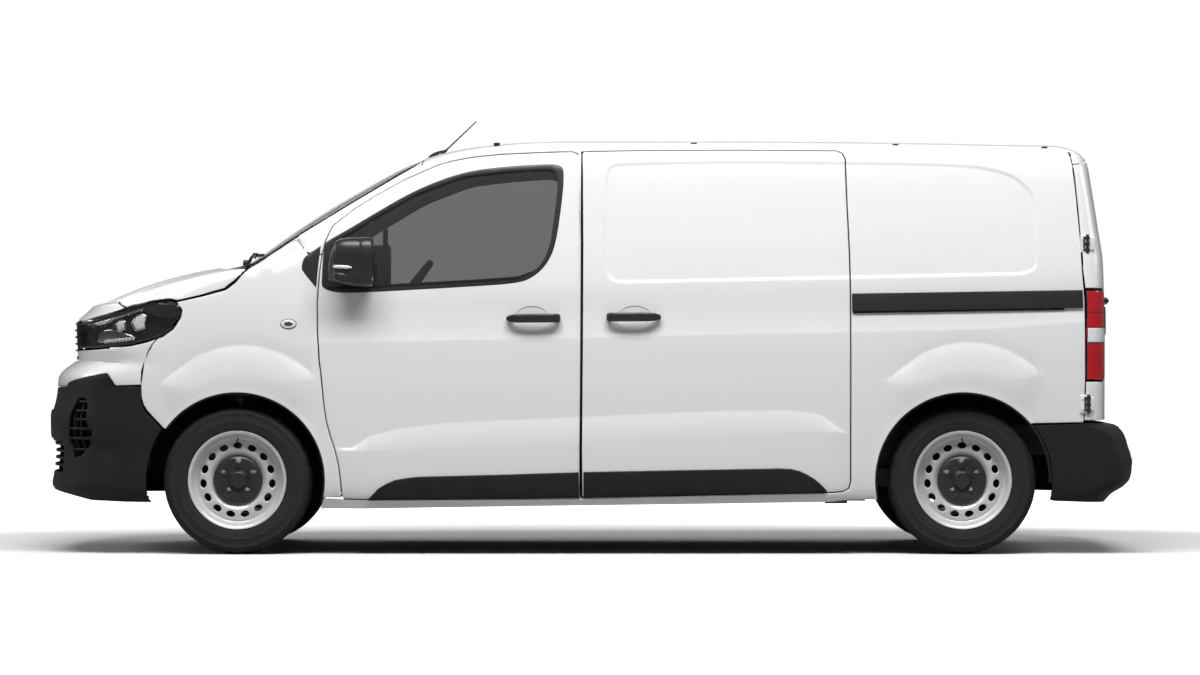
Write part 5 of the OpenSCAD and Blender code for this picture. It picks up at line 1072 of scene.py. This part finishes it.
def on_nose(y, h, off):
    ab = NOSE.aby([(abs(y), h)]); ab[:, 0] *= -1 if y > 0 else 1
    return (NOSE.pos(ab[:, 0], ab[:, 1]) + normal_of(NOSE, ab[:, 0], ab[:, 1]) * off)[0]
for nm, y0, y1, yp in (("left", -540, 120, 300), ("right", 225, 800, 810)):
    ys = np.linspace(y0, y1, 34); hs = 1336 + (ys - y0) / (y1 - y0) * 22
    blade = tube([on_nose(y, h, 13 + 3 * math.sin(math.pi * (y - y0) / (y1 - y0))) for y, h in zip(ys, hs)], [2.5] + [5.5] * 32 + [2.5], 10)
    lipr = tube([on_nose(y, h, 7) for y, h in zip(ys, hs)], 3.0, 6)
    ym = (y0 + y1) / 2; hm = 1347
    yp_ = min(yp, 760) if nm == "left" else 700
    ya = np.linspace(yp_ if nm == "left" else 745, ym, 18); ha = np.linspace(1309, hm, 18)
    arm = tube([on_nose(y, h, 20 + 10 * math.sin(math.pi * min(1, i / 17.0))) for i, (y, h) in enumerate(zip(ya, ha))], np.linspace(9, 5, 18), 10)
    pv = on_nose(ya[0], 1308, 14); hub = up_z(lathe([(0.5, 26), (9, 25), (13, 21), (14, 12), (15, -14), (0.5, -14)], 24))
    clip = rbox(tuple(on_nose(ym, hm, 20)), (26, 54, 16), 5)
    jl = join(blade, lipr, arm, moved(hub, pv), clip)
    mk("wiper_" + nm, jl[0], jl[1], M["trim_satin"], node="wipers" if nm == "left" else (), sharp=50)
ab_ = along_x([(-754, 0, 1821, 3, 3), (-749, 0, 1823, 13, 8), (-737, 0, 1826, 19, 14), (-717, 0, 1831, 21, 18), (-697, 0, 1838, 18, 17), (-683, 0, 1844, 14, 13), (-675, 0, 1850, 9, 9), (-668, 0, 1855, 6, 6), (-662, 0, 1860, 3, 3)], 2.2, 32)
d_ = np.array([math.sin(math.radians(46.5)), 0, math.cos(math.radians(46.5))]); p0_ = np.array([-677, 0, 1850.0])
rod = tube([p0_ + d_ * t for t in np.linspace(0, 206, 104)], [5.4 if t < 14 else (3.6 + 0.7 * (i % 2)) - 1.2 * t / 206 for i, t in enumerate(np.linspace(0, 206, 104))], 10)
mk("aerial_mast", *join(ab_, rod), M["trim_textured"], node="aerial", sharp=60)
col = []
for x in (-420, 480, 1400, 2080):
    for s in (-1, 1):
        z = 1868 - float(fall(x, 1868))
        col.append(moved(up_z(lathe([(4.4, -30), (4.4, -3), (5.2, -1.2), (9, -0.6), (12.5, -1.2), (13.6, -3.5), (13.6, -30)], 28)), (x, s * 640, z)))
mk("roof_socket_bushes", *join(*col), M["steel_bare"], sharp=40)

# =============================================================================
# Cab: seats, dashboard, steering wheel
# =============================================================================
def soft_box(size, r=42, crown=26, pull=10, su=(), sv=(), depth=6.5, wid=6.5, bolster=0.0, waist=0.0):
    """crowned closed cushion centred on the origin, crown towards +c: its sides pull in between the corners,
    su and sv are sewn channels across a and b, with a seam round the edge"""
    h = np.array(size, float) / 2; r = min(r, h[2] * 0.85)
    def lines(half, seams, edge=True):
        t = list(np.linspace(-half, half, max(8, int(2 * half / 22))))
        for s in list(seams) + ([half - r * 0.75, -half + r * 0.75] if edge else []):
            t += [s - 2.4 * wid, s - 1.2 * wid, s - 0.55 * wid, s, s + 0.55 * wid, s + 1.2 * wid, s + 2.4 * wid]
        for k in (0.12, 0.3, 0.55, 0.8, 1.0): t += [half - r * (1 - k), -half + r * (1 - k)]
        t = sorted(x for x in t if -half <= x <= half); o = [t[0]]
        for x in t[1:]:
            if x - o[-1] > 2.2: o.append(x)
        o[-1] = half; return np.array(o)
    X = [lines(h[0], su), lines(h[1], sv), lines(h[2], (), False)]
    V, F = [], []
    for ax in range(3):
        i, j = (ax + 1) % 3, (ax + 2) % 3
        for s in (-1, 1):
            A, B = X[i], X[j]; g = np.zeros((len(A), len(B), 3)); g[..., i] = A[:, None]; g[..., j] = B[None]; g[..., ax] = s * h[ax]
            o = len(V); V += list(g.reshape(-1, 3)); nb = len(B)
            for p in range(len(A) - 1):
                for q in range(nb - 1):
                    f = (o + p * nb + q, o + (p + 1) * nb + q, o + (p + 1) * nb + q + 1, o + p * nb + q + 1)
                    F.append(f if s > 0 else f[::-1])
    P = np.array(V); inner = np.clip(P, -(h - r), h - r); d = P - inner; l = np.linalg.norm(d, axis=1); l[l == 0] = 1; n = d / l[:, None]
    Q = inner + n * r; u = P / h
    up = np.clip(n[:, 2], 0, 1)
    Q[:, 2] += up * crown * (1 - np.abs(u[:, 0]) ** 2.4) * (1 - np.abs(u[:, 1]) ** 2.4)
    if bolster: Q[:, 2] += up * bolster * np.exp(-((np.abs(P[:, 1]) - (h[1] - 52)) / 34) ** 2) * (1 - np.abs(u[:, 0]) ** 4)
    for k in (0, 1):
        m = 1 - k; Q[:, k] -= np.sign(u[:, k]) * np.abs(n[:, k]) * pull * (1 - u[:, m] ** 2) * (1 - 0.5 * u[:, 2] ** 2)
    if waist: Q[:, 0] *= 1 - waist * (u[:, 1] * 0.5 + 0.5) ** 2
    g = np.zeros(len(P))
    for k, S in ((0, su), (1, sv)):
        for s in S: g = np.maximum(g, np.exp(-((P[:, k] - s) / wid) ** 2) * (np.abs(P[:, 1 - k]) < h[1 - k] - r * 0.5))
    for k in (0, 1):
        e = h[k] - r * 0.75; g = np.maximum(g, 0.75 * np.exp(-((np.abs(P[:, k]) - e) / (wid * 0.8)) ** 2) * (np.abs(P[:, 1 - k]) < h[1 - k] - r * 0.7))
    Q -= n * (g * depth * np.clip(n[:, 2] * 1.4, 0, 1))[:, None]
    # slight unevenness of a stuffed cover
    Q += n * (1.3 * np.sin(P[:, 0] * 0.031 + 1.1) * np.sin(P[:, 1] * 0.027 + 0.4) * np.sin(P[:, 2] * 0.05 + 0.9))[:, None]
    return Q, F
def frame_to(vf, A, B, C, o): v = np.array(vf[0], float); return v[:, :1] * np.array(A, float) + v[:, 1:2] * np.array(B, float) + v[:, 2:] * np.array(C, float) + np.array(o, float), vf[1]
c12, s12 = math.cos(math.radians(12)), math.sin(math.radians(12))
def leaned(vf, at, size):
    "a pad of (width, height, thickness) in the place of a CAD block leaned back 12 degrees at the given corner"
    X_, Z_ = np.array([c12, 0, -s12]), np.array([s12, 0, c12])
    o = np.array(at, float) + X_ * size[2] / 2 + np.array([0, size[0] / 2, 0]) + Z_ * size[1] / 2
    return frame_to(vf, (0, -1, 0), Z_, -X_, o)
def seat(nm, ox, oy, wd, node, heads, splits, nseat):
    cush = soft_box((480, wd, 128), 40, 20, 8, su=(-60,), sv=splits, bolster=16 if nseat == 1 else 6)
    c = mk(nm + "_cushion", *moved(cush, (ox + 240, oy + wd / 2, 865)), M["cloth_seat"], weld=0.05, sharp=180)
    back = soft_box((wd - 6, 552, 104), 38, 16, 9, su=splits, sv=(-150, 60), bolster=0)
    b = mk(nm + "_back", *leaned(back, (ox + 440, oy + 3, 934), (wd - 6, 552, 110)), M["cloth_seat"], weld=0.05, sharp=180)
    for i, hy in enumerate(heads):
        hd = soft_box((236, 180, 76), 34, 12, 6, sv=(20,))
        h_ = mk(nm + "_head_%d" % i, *leaned(hd, (ox + 560, oy + hy + 2, 1482), (236, 180, 80)), M["cloth_bolster"], weld=0.05, sharp=180)
        z0 = np.array([ox + 440 + 55 * c12 + 555 * s12, 0, 930 - 55 * s12 + 540 * c12]); Z_ = np.array([s12, 0, c12])
        posts = join(*[tube([z0 + [0, oy + hy + 120 + s * 52, 0] + Z_ * t for t in (-18, 0, 30, 62)], 6, 12) for s in (-1, 1)], *[moved(up_z(lathe([(6.3, -8), (11, -6), (12, 0), (10, 4), (6.3, 5)], 18)), z0 + [0, oy + hy + 120 + s * 52, 0] + Z_ * 6) for s in (-1, 1)])
        mk(nm + "_posts_%d" % i, *posts, M["steel_bare"])
    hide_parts(node)
    base = join(rbox((ox + 240, oy + wd / 2, 765), (420, wd - 34, 66), 18, 3), rbox((ox + 240, oy + wd / 2, 690), (330, wd - 96, 120), 22, 3),
        *[rbox((ox + 240, oy + 62 + k * (wd - 124), 598), (430, 44, 34), 7, 2) for k in (0, 1)], *[rbox((ox + 240 + q, oy + 62 + k * (wd - 124), 635), (46, 30, 60), 8, 2) for k in (0, 1) for q in (-150, 150)],
        tube([(ox + 10, oy + wd * .35, 750), (ox - 14, oy + wd * .35, 744), (ox - 20, oy + wd * .5, 744), (ox - 14, oy + wd * .65, 744), (ox + 10, oy + wd * .65, 750)], 7, 12))
    mk(nm + "_base", *base, M["plastic_cab"])
    shell = leaned(soft_box((wd - 40, 500, 20), 8, 5, 2), (ox + 548 - 2, oy + 20, 948), (wd - 40, 500, 14))
    mk(nm + "_back_shell", *shell, M["plastic_cab"], weld=0.05, sharp=60)
    side = join(*[rbox((ox + 300, oy + (-2 if k == 0 else wd + 2), 838), (250, 20, 64), 9, 3) for k in (0, 1)], *[up_z(lathe([(0.5, 0)] * 2 + [(1, 1)], 3)) for k in ()])
    mk(nm + "_side_trim", *side, M["plastic_cab"])
    bk = join(rbox((ox + 400, oy + wd - 30, 950), (26, 18, 74), 6, 3), tube([(ox + 400, oy + wd - 20, 830), (ox + 400, oy + wd - 30, 900), (ox + 400, oy + wd - 30, 925)], 6, 8))
    mk(nm + "_buckle", *bk, M["trim_satin"])
seat("driver_seat", -660, -640, 460, "driver_seat", (110,), (-128, 128), 1)
seat("passenger_bench", -660, -130, 820, "passenger_bench", (90, 490), (-290, 0, 290), 2)

dp = smooth(dens([[-1246,800],[-1246,1184],[-1480,1184],[-1480,1226],[-1180,1238],[-1020,1218],[-964,1160],[-988,1060],[-1080,902],[-1180,802]], 60), 2)
cx_, cz_ = -1110.0, 1080.0
rings = []
for y, k in [(-798, 0.90), (-796, 0.96), (-788, 0.99)] + [(y, 1.0) for y in np.linspace(-770, 770, 40)] + [(788, 0.99), (796, 0.96), (798, 0.90)]:
    q = dp.copy(); q = (q - [cx_, cz_]) * k + [cx_, cz_]
    hump = 10 * math.exp(-((y + 410) / 150) ** 2) * 0
    rings.append([[p[0], y, p[1]] for p in q])
dash = loft(rings)
mk("dashboard_shell", *dash, M["plastic_cab"], node="dashboard", sharp=60)
hood = loft([[[x, y, z] for x, z in ([-1150, 1226], [-1146, 1226 + hh * .8], [-1110, 1226 + hh], [-1020, 1224 + hh * 1.05], [-992, 1216 + hh * .95], [-990, 1208 + hh * .9], [-1000, 1212], [-1060, 1216])] for y, hh in
    [(-566, 4), (-560, 26), (-548, 42), (-520, 52), (-470, 58), (-410, 60), (-350, 58), (-300, 52), (-272, 42), (-260, 26), (-254, 4)]])
mk("instrument_hood", *hood, M["plastic_cab"], weld=0.01, sharp=50)
mk("instrument_dials", *join(rbox((-1004, -410, 1234), (8, 250, 44), 3), *[turn_y(moved(lathe([(0.5, 3), (44, 3), (47, 0), (47, -4), (0.5, -4)], 40), (0, 0, 0)), 0) for _ in ()]), M["trim_gloss"])
mk("centre_screen", *join(turn_y(rbox((0, 0, 0), (16, 262, 152), 6, 3), -14, (-990, -20, 1262)), turn_y(rbox((4, 0, 0), (14, 240, 132), 2, 1), -14, (-988, -20, 1262)), rbox((-1012, -20, 1222), (40, 90, 30), 8)), M["trim_gloss"])
vents = []
for y in (-720, -232, 190, 720):
    vents.append(turn_y(rbox((0, 0, 0), (20, 128, 62), 9, 3), -40, (-985, y, 1186)))
mk("air_vents", *join(*vents), M["trim_satin"])
mk("air_vent_slats", *join(*[turn_y(rbox((6, 0, k), (18, 108, 5), 1.5, 1), -40, (-985, y, 1186)) for y in (-720, -232, 190, 720) for k in (-20, -10, 0, 10, 20)]), M["plastic_cab_light"])
mk("glovebox_lid", *turn_y(rbox((0, 0, 0), (16, 420, 118), 10, 3), 14, (-974, 500, 1106)), M["plastic_cab_light"])
mk("centre_console", *join(turn_y(rbox((0, 0, 0), (70, 300, 260), 26, 4), 20, (-1005, -20, 1030)), rbox((-1010, -20, 900), (110, 230, 160), 24, 4)), M["plastic_cab"])
mk("console_controls", *join(*[moved(xform(lathe([(0.5, 22), (18, 22), (20, 19), (21, 4), (24, 0), (0.5, 0)], 32), [[0, -1, 0, 0], [1, 0, 0, 0], [0, 0, 1, 0], [0, 0, 0, 1]]), (-962, y, 1062)) for y in (-110, -20, 70)],
    rbox((-962, -20, 1112), (12, 240, 26), 4, 2), *[rbox((-956, -20 + k, 1112), (8, 34, 16), 3, 2) for k in (-96, -48, 0, 48, 96)]), M["trim_satin"])
gk = join(tube([(-968, -20, 990), (-940, -20, 1020), (-925, -20, 1050)], [16, 9, 8], 14), moved(up_z(lathe([(0.5, 30), (14, 28), (22, 16), (23, 2), (18, -12), (9, -20), (0.5, -20)], 28)), (-922, -20, 1062)))
mk("gear_lever", *gk, M["trim_satin"])
ped = join(*[turn_y(rbox((0, 0, 0), (12, w_, 78), 4, 2), -28, (-1085, y, 705)) for y, w_ in ((-520, 74), (-420, 84), (-318, 56))], *[tube([(-1088, y, 730), (-1130, y, 830), (-1150, y, 900)], 8, 10) for y in (-520, -420, -318)])
mk("pedals", *ped, M["trim_textured"])

def wheel_local():
    prof = [(195 + 15 * math.cos(t), 15 * math.sin(t)) for t in np.linspace(0, 2 * math.pi, 20, endpoint=False)]
    def rad(a, r, o):
        k = 1 + 0.13 * math.exp(-((abs(math.degrees(math.atan2(math.sin(a), math.cos(a)))) - 90) / 22.0) ** 2)
        return 195 + (r - 195) * k, o * k
    rim = up_z(lathe(prof, 120, True, rad=rad)); parts = [rim]
    pad = loft([ering((0, 0, z), ra, rb, u=(1, 0, 0), v=(0, 1, 0), e=2.8, n=48) for z, ra, rb in ((-22, 50, 60), (-10, 62, 80), (6, 66, 90), (16, 64, 88), (22, 56, 78), (25, 40, 56), (26, 10, 14))]); parts.append(pad)
    for a in (90, 210, 330):
        t = math.radians(a); d = np.array([math.cos(t), math.sin(t), 0]); s = np.array([-math.sin(t), math.cos(t), 0])
        parts.append(loft([ering(d * rr + [0, 0, z], w2, th, u=s, v=(0, 0, 1), e=3, n=24) for rr, z, w2, th in ((50, 4, 30, 11), (80, 3, 24, 9), (120, 0, 19, 8), (160, -1, 17, 8), (186, 0, 20, 9), (196, 0, 22, 8))]))
    parts.append(loft([ering((0, 0, z), ra, ra * 1.1, u=(1, 0, 0), v=(0, 1, 0), e=2.6, n=36) for z, ra in ((-190, 44), (-120, 46), (-60, 44), (-34, 40), (-16, 38))]))
    for s in (-1, 1):
        parts.append(tube([(0, s * 40, -60), (6, s * 110, -52), (10, s * 165, -46)], [9, 8, 10], 12))
    return join(*parts)
mk("steering_wheel_rim", *turn_y(wheel_local(), -53, (-850, -410, 1165)), M["cloth_bolster"] if False else M["plastic_cab"], node="steering_wheel", sharp=50)

# =============================================================================
# Load bay, bulkhead, engine bay, tank
# =============================================================================
strips = []
for k in range(17):
    y = -816 + k * 102
    xs = ((88, 2186),) if abs(y) < 560 else ((88, 1262), (2112, 2186))
    for x0, x1 in xs: strips.append(rbox(((x0 + x1) / 2, y, 583.5), (x1 - x0, 94, 7), 2.2, 2))
mk("load_floor", *join(*strips), M["floor_paint"])
mk("cab_mat", *join(rbox((-935, 0, 584), (440, 1560, 8), 3, 2), *[rbox((-935, y, 589), (400, 10, 5), 1.5, 1) for y in range(-720, 721, 40)]), M["plastic_cab"])
rings_ = join(*[moved(join(up_z(lathe([(17, 1), (27, 2), (29, 5), (27, 7), (17, 8), (15, 5)], 28)), rbox((0, 0, 3), (16, 70, 5), 2, 2)), (x, s * 590, 588)) for x in (300, 800, 1200, 2150) for s in (-1, 1)])
mk("lashing_rings", *rings_, M["steel_bare"])
br = [rbox((88, 0, z), (9, w2 * 2, 34), 4, 3) for z, w2 in ((660, 800), (760, 800), (860, 800), (960, 800), (1060, 800), (1160, 790))]
br += [rbox((88, s * 520, 1400), (9, 34, 400), 4, 3) for s in (-1, 1)] + [rbox((88, 0, z), (9, 1160, 30), 4, 3) for z in (1640, 1710)]
br += [rbox((57, 0, z), (7, 1500, 30), 3, 2) for z in (700, 1120, 1650)]
mk("bulkhead_ribs", *join(*br), M["bulkhead_paint"])
mk("bulkhead_window_seal", *join(*[rbox((72, 0, z), (42, 500, 18), 5, 2) for z in (1238, 1542)], *[rbox((72, y, 1390), (42, 18, 318), 5, 2) for y in (-241, 241)]), M["seal_rubber"])
mk("bulkhead_window", *join(rbox((72, 0, 1390), (5, 478, 300), 2, 2), *[rbox((80, 0, 1300 + k * 45), (5, 478, 6), 2, 1) for k in range(5)]), M["glass_tint"])

eb = [rbox((-1670, 0, 690), (548, 690, 400), 26, 3), rbox((-1670, 0, 470), (420, 560, 96), 30, 3), rbox((-1670, 20, 930), (400, 560, 96), 22, 3)]
eb += [rbox((-1395, y, 700), (14, 26, 330), 5, 2) for y in range(-300, 301, 75)] + [rbox((-1946, y, 700), (12, 26, 330), 5, 2) for y in range(-300, 301, 75)]
eb += [moved(lathe([(0.5, 24), (34, 24), (36, 18), (30, 12), (36, 6), (36, 0), (0.5, 0)], 36), (x, -330, z)) for x, z in ((-1820, 560), (-1560, 600), (-1700, 800))]
mk("engine_castings", *join(*eb), M["engine_metal"], node="engine_block")
mk("engine_cover", *join(rbox((-1675, 20, 998), (400, 500, 46), 20, 4), *[rbox((-1675, 20 + k, 1022), (330, 22, 12), 5, 2) for k in (-200, -150, -100, 100, 150, 200)], moved(up_z(lathe([(0.5, 26), (22, 26), (26, 22), (28, 0), (0.5, 0)], 28)), (-1560, 20, 1016))), M["trim_textured"])
mk("battery_and_boxes", *join(rbox((-1800, 470, 985), (250, 172, 176), 9, 3), rbox((-1800, 470, 1078), (236, 160, 14), 5, 2), rbox((-2010, 470, 980), (120, 160, 120), 14, 3), rbox((-1800, 450, 880), (280, 210, 14), 4, 2), rbox((-1800, 440, 745), (60, 60, 268), 8, 2)), M["trim_satin"])
mk("coolant_tank", *join(rbox((-1930, -480, 970), (150, 150, 130), 26, 4), moved(up_z(lathe([(0.5, 30), (26, 30), (29, 26), (29, 4), (20, 0), (20, -12), (0.5, -12)], 28)), (-1930, -480, 1046)), rbox((-1930, -450, 760), (40, 40, 300), 8, 2)), M["lamp_white"])
hoses = join(tube([(-1900, 120, 960), (-1980, 160, 1000), (-2050, 190, 1010), (-2096, 200, 1000)], 32, 18), tube([(-1900, -200, 920), (-1960, -230, 930), (-2040, -240, 940), (-2100, -250, 940)], 20, 16), tube([(-1600, -250, 1000), (-1640, -380, 1010), (-1760, -450, 990), (-1860, -470, 980)], 13, 14),
    tube([(-1500, 250, 960), (-1440, 330, 980), (-1420, 420, 960), (-1400, 470, 900)], 11, 12))
mk("hoses", *hoses, M["seal_rubber"])
mk("radiator", *join(rbox((-2118, 0, 800), (34, 880, 420), 8, 2), *[rbox((-2100, 0, 610 + 15 * k), (8, 830, 6), 1.5, 1) for k in range(26)], rbox((-2118, -450, 800), (46, 50, 430), 14, 3), rbox((-2118, 450, 800), (46, 50, 430), 14, 3), rbox((-2125, 0, 1048), (60, 1120, 44), 10, 3)), M["wheel_dark"])
tk = [rbox((60, -240, 335), (752, 372, 164), 34, 4)] + [rbox((60 + k, -240, 335), (30, 378, 168), 12, 3) for k in (-250, -90, 90, 250)]
mk("fuel_tank_shell", *join(*tk), M["tank_hdpe"], node="fuel_tank")
mk("tank_straps", *join(*[rbox((60 + k, -240, 249), (34, 396, 4), 1.5, 1) for k in (-170, 170)], *[rbox((60 + k, -240 + s * 192, 345), (34, 4, 196), 1.5, 1) for k in (-170, 170) for s in (-1, 1)]), M["steel_bare"])
def coil(x, y, z0, z1, R, rw, turns):
    t = np.linspace(0, 1, int(turns * 26)); return tube([(x + R * math.cos(2 * math.pi * turns * k), y + R * math.sin(2 * math.pi * turns * k), z0 + (z1 - z0) * k) for k in t], rw, 9)
mk("rear_springs", *join(*[coil(RX + 10, s * 590, 348, 472, 63, 6, 4.5) for s in (-1, 1)]), M["trim_satin"])
mk("exhaust_clamps", *join(*[xform(up_z(lathe([(29, -9), (33, -7), (33, 7), (29, 9)], 36)), [[0, 0, 1, x], [0, 1, 0, 200], [-1, 0, 0, 300], [0, 0, 0, 1]]) for x in (-700, -200, 300)],
    *[xform(up_z(lathe([(30, -14), (81, -10), (84, -4), (84, 4), (81, 8), (30, 10)], 48)), [[0, 0, 1, x], [0, 1, 0, 200], [-1, 0, 0, 310], [0, 0, 0, 1]]) for x in (504, 1136)], *[rbox((x, 200, 360 + 40), (24, 20, 90), 4, 2) for x in (-500, 480)]), M["exhaust_steel"])

# =============================================================================
# Finish of the frame's own parts that stay in view
# =============================================================================
def dress(key, *names):
    for n in names:
        ob = NODES.get(n)
        if ob is None: continue
        if not ob.material_slots: ob.data.materials.append(M[key])
        for s_ in ob.material_slots: s_.material = M[key]
dress("chassis_paint", "floor_pan", "front_subframe", "rear_axle")
dress("engine_metal", "engine_block")
dress("exhaust_steel", "exhaust")
dress("tank_hdpe", "fuel_tank")
dress("bulkhead_paint", "bulkhead")
dress("plastic_cab", "firewall", "dashboard", "steering_wheel", "driver_seat", "passenger_bench")
dress("trim_textured", "roof_sockets", "grille", "rear_bumper", "scuttle_panel", "wipers", "aerial", "door_mirror_left", "door_mirror_right",
      "door_handle_left", "door_handle_right", "sliding_door_handles")
dress("seal_rubber", "wheelhouses")
dress("paint_white", "roof_panel", "front_wings", "front_bumper", "rear_door_left", "rear_door_right", "bonnet", "side_panel_left")
dress("lamp_chrome", "headlamps"); dress("lens_red", "tail_lamps"); dress("glass_screen", "windscreen")
dress("steel_bare", "knuckle_left", "knuckle_right")
dress("rubber_tyre", "tyre_front_left", "tyre_front_right", "tyre_rear_left", "tyre_rear_right")
dress("wheel_silver", "wheel_front_left", "wheel_front_right", "wheel_rear_left", "wheel_rear_right")

# =============================================================================
# Stage, light and camera
# =============================================================================
def stage_mesh(name, V, F, m):
    me = bpy.data.meshes.new(name); me.from_pydata(V, [], F); me.materials.append(m)
    me.polygons.foreach_set("use_smooth", [True] * len(me.polygons))
    ob = bpy.data.objects.new(name, me); bpy.context.scene.collection.objects.link(ob); return ob
fm = bpy.data.materials.new("floor_pale"); fm.use_nodes = True
fb = fm.node_tree.nodes["Principled BSDF"]; fb.inputs["Roughness"].default_value = 0.85; fb.inputs["Specular IOR Level"].default_value = 0.1
fn = fm.node_tree.nodes.new("ShaderNodeTexNoise"); fn.inputs["Scale"].default_value = 3
fr = fm.node_tree.nodes.new("ShaderNodeValToRGB"); fr.color_ramp.elements[0].color = (0.885, 0.885, 0.885, 1); fr.color_ramp.elements[1].color = (0.90, 0.90, 0.90, 1)
fm.node_tree.links.new(fn.outputs["Fac"], fr.inputs["Fac"]); fz = fm.node_tree.nodes.new("ShaderNodeMixRGB"); fz.inputs["Color1"].default_value = (0.34, 0.34, 0.34, 1); fo = fm.node_tree.nodes.new("ShaderNodeLightPath")
fm.node_tree.links.new(fr.outputs["Color"], fz.inputs["Color2"]); fm.node_tree.links.new(fo.outputs["Is Camera Ray"], fz.inputs["Fac"]); fm.node_tree.links.new(fz.outputs["Color"], fb.inputs["Base Color"])
V, F = [], []
rr_ = [0.6, 1.4, 2.2, 3.0, 4.0, 5.5, 8, 12, 18, 30, 50, 90]; na = 72
for r in rr_:
    for k in range(na): a = 2 * math.pi * k / na; V.append((r * math.cos(a), r * math.sin(a), -0.0005))
for i in range(len(rr_) - 1):
    for k in range(na): l = (k + 1) % na; F.append((i * na + k, (i + 1) * na + k, (i + 1) * na + l, i * na + l))
F.append(tuple(range(na)))
# near the van the floor only catches light; further out it glows up to the backdrop's white
fg = fm.node_tree.nodes.new("ShaderNodeNewGeometry"); fv = fm.node_tree.nodes.new("ShaderNodeVectorMath"); fv.operation = "MULTIPLY"; fv.inputs[1].default_value = (0.38, 0.50, 0.0)
fl = fm.node_tree.nodes.new("ShaderNodeVectorMath"); fl.operation = "LENGTH"; fq = fm.node_tree.nodes.new("ShaderNodeMapRange"); fq.interpolation_type = "SMOOTHSTEP"
fq.inputs["From Min"].default_value = 1.28; fq.inputs["From Max"].default_value = 2.05; fq.inputs["To Min"].default_value = 0.0; fq.inputs["To Max"].default_value = 1.0
fm.node_tree.links.new(fg.outputs["Position"], fv.inputs[0]); fm.node_tree.links.new(fv.outputs["Vector"], fl.inputs[0])
fm.node_tree.links.new(fl.outputs["Value"], fq.inputs["Value"]); fp = fm.node_tree.nodes.new("ShaderNodeLightPath"); fx_ = fm.node_tree.nodes.new("ShaderNodeMath"); fx_.operation = "MULTIPLY"
fm.node_tree.links.new(fq.outputs["Result"], fx_.inputs[0]); fm.node_tree.links.new(fp.outputs["Is Camera Ray"], fx_.inputs[1])
fm.node_tree.links.new(fx_.outputs["Value"], fb.inputs["Emission Strength"])
fb.inputs["Emission Color"].default_value = (1, 1, 1, 1)
stage_mesh("studio_floor", V, F, fm)

w = bpy.data.worlds.new("studio"); bpy.context.scene.world = w; w.use_nodes = True
bg = w.node_tree.nodes["Background"]; bg.inputs["Color"].default_value = (1, 1, 1, 1)
lp = w.node_tree.nodes.new("ShaderNodeLightPath"); wl = w.node_tree.nodes.new("ShaderNodeMapRange"); wl.name = "wlight"
wl.inputs["To Min"].default_value = 0.10; wl.inputs["To Max"].default_value = 1.02
w.node_tree.links.new(lp.outputs["Is Camera Ray"], wl.inputs["Value"]); w.node_tree.links.new(wl.outputs["Result"], bg.inputs["Strength"])
def area_light(name, loc, aim, size, sy, power, col=(1, 1, 1)):
    l = bpy.data.lights.new(name, "AREA"); l.shape = "RECTANGLE"; l.size = size; l.size_y = sy; l.energy = power; l.color = col
    o = bpy.data.objects.new(name, l); o.location = loc; o.rotation_euler = (Vector(aim) - Vector(loc)).to_track_quat("-Z", "Y").to_euler()
    bpy.context.scene.collection.objects.link(o); return o
area_light("key", (0, -5.4, 9.1), (0, 0, 0.7), 10, 3, 1330)
area_light("far_fill", (0, 7.5, 6.0), (0, 0, 0.8), 11, 4, 170)
area_light("tail_fill", (10.5, 0, 5.0), (1.5, 0, 0.9), 5, 4, 210)
area_light("nose_fill", (-10.5, 0, 5.0), (-1.5, 0, 0.8), 5, 4, 225)

cam = bpy.data.cameras.new("camera"); co = bpy.data.objects.new("camera", cam); bpy.context.scene.collection.objects.link(co)
cam.sensor_width = 36; cam.sensor_fit = "HORIZONTAL"; cam.lens = 158.1; cam.clip_start = 0.1; cam.clip_end = 300
co.location = (0.051, -24.7, 0.979); co.rotation_euler = (math.radians(90), 0, 0)
bpy.context.scene.camera = co
bpy.context.scene.view_settings.view_transform = "Standard"
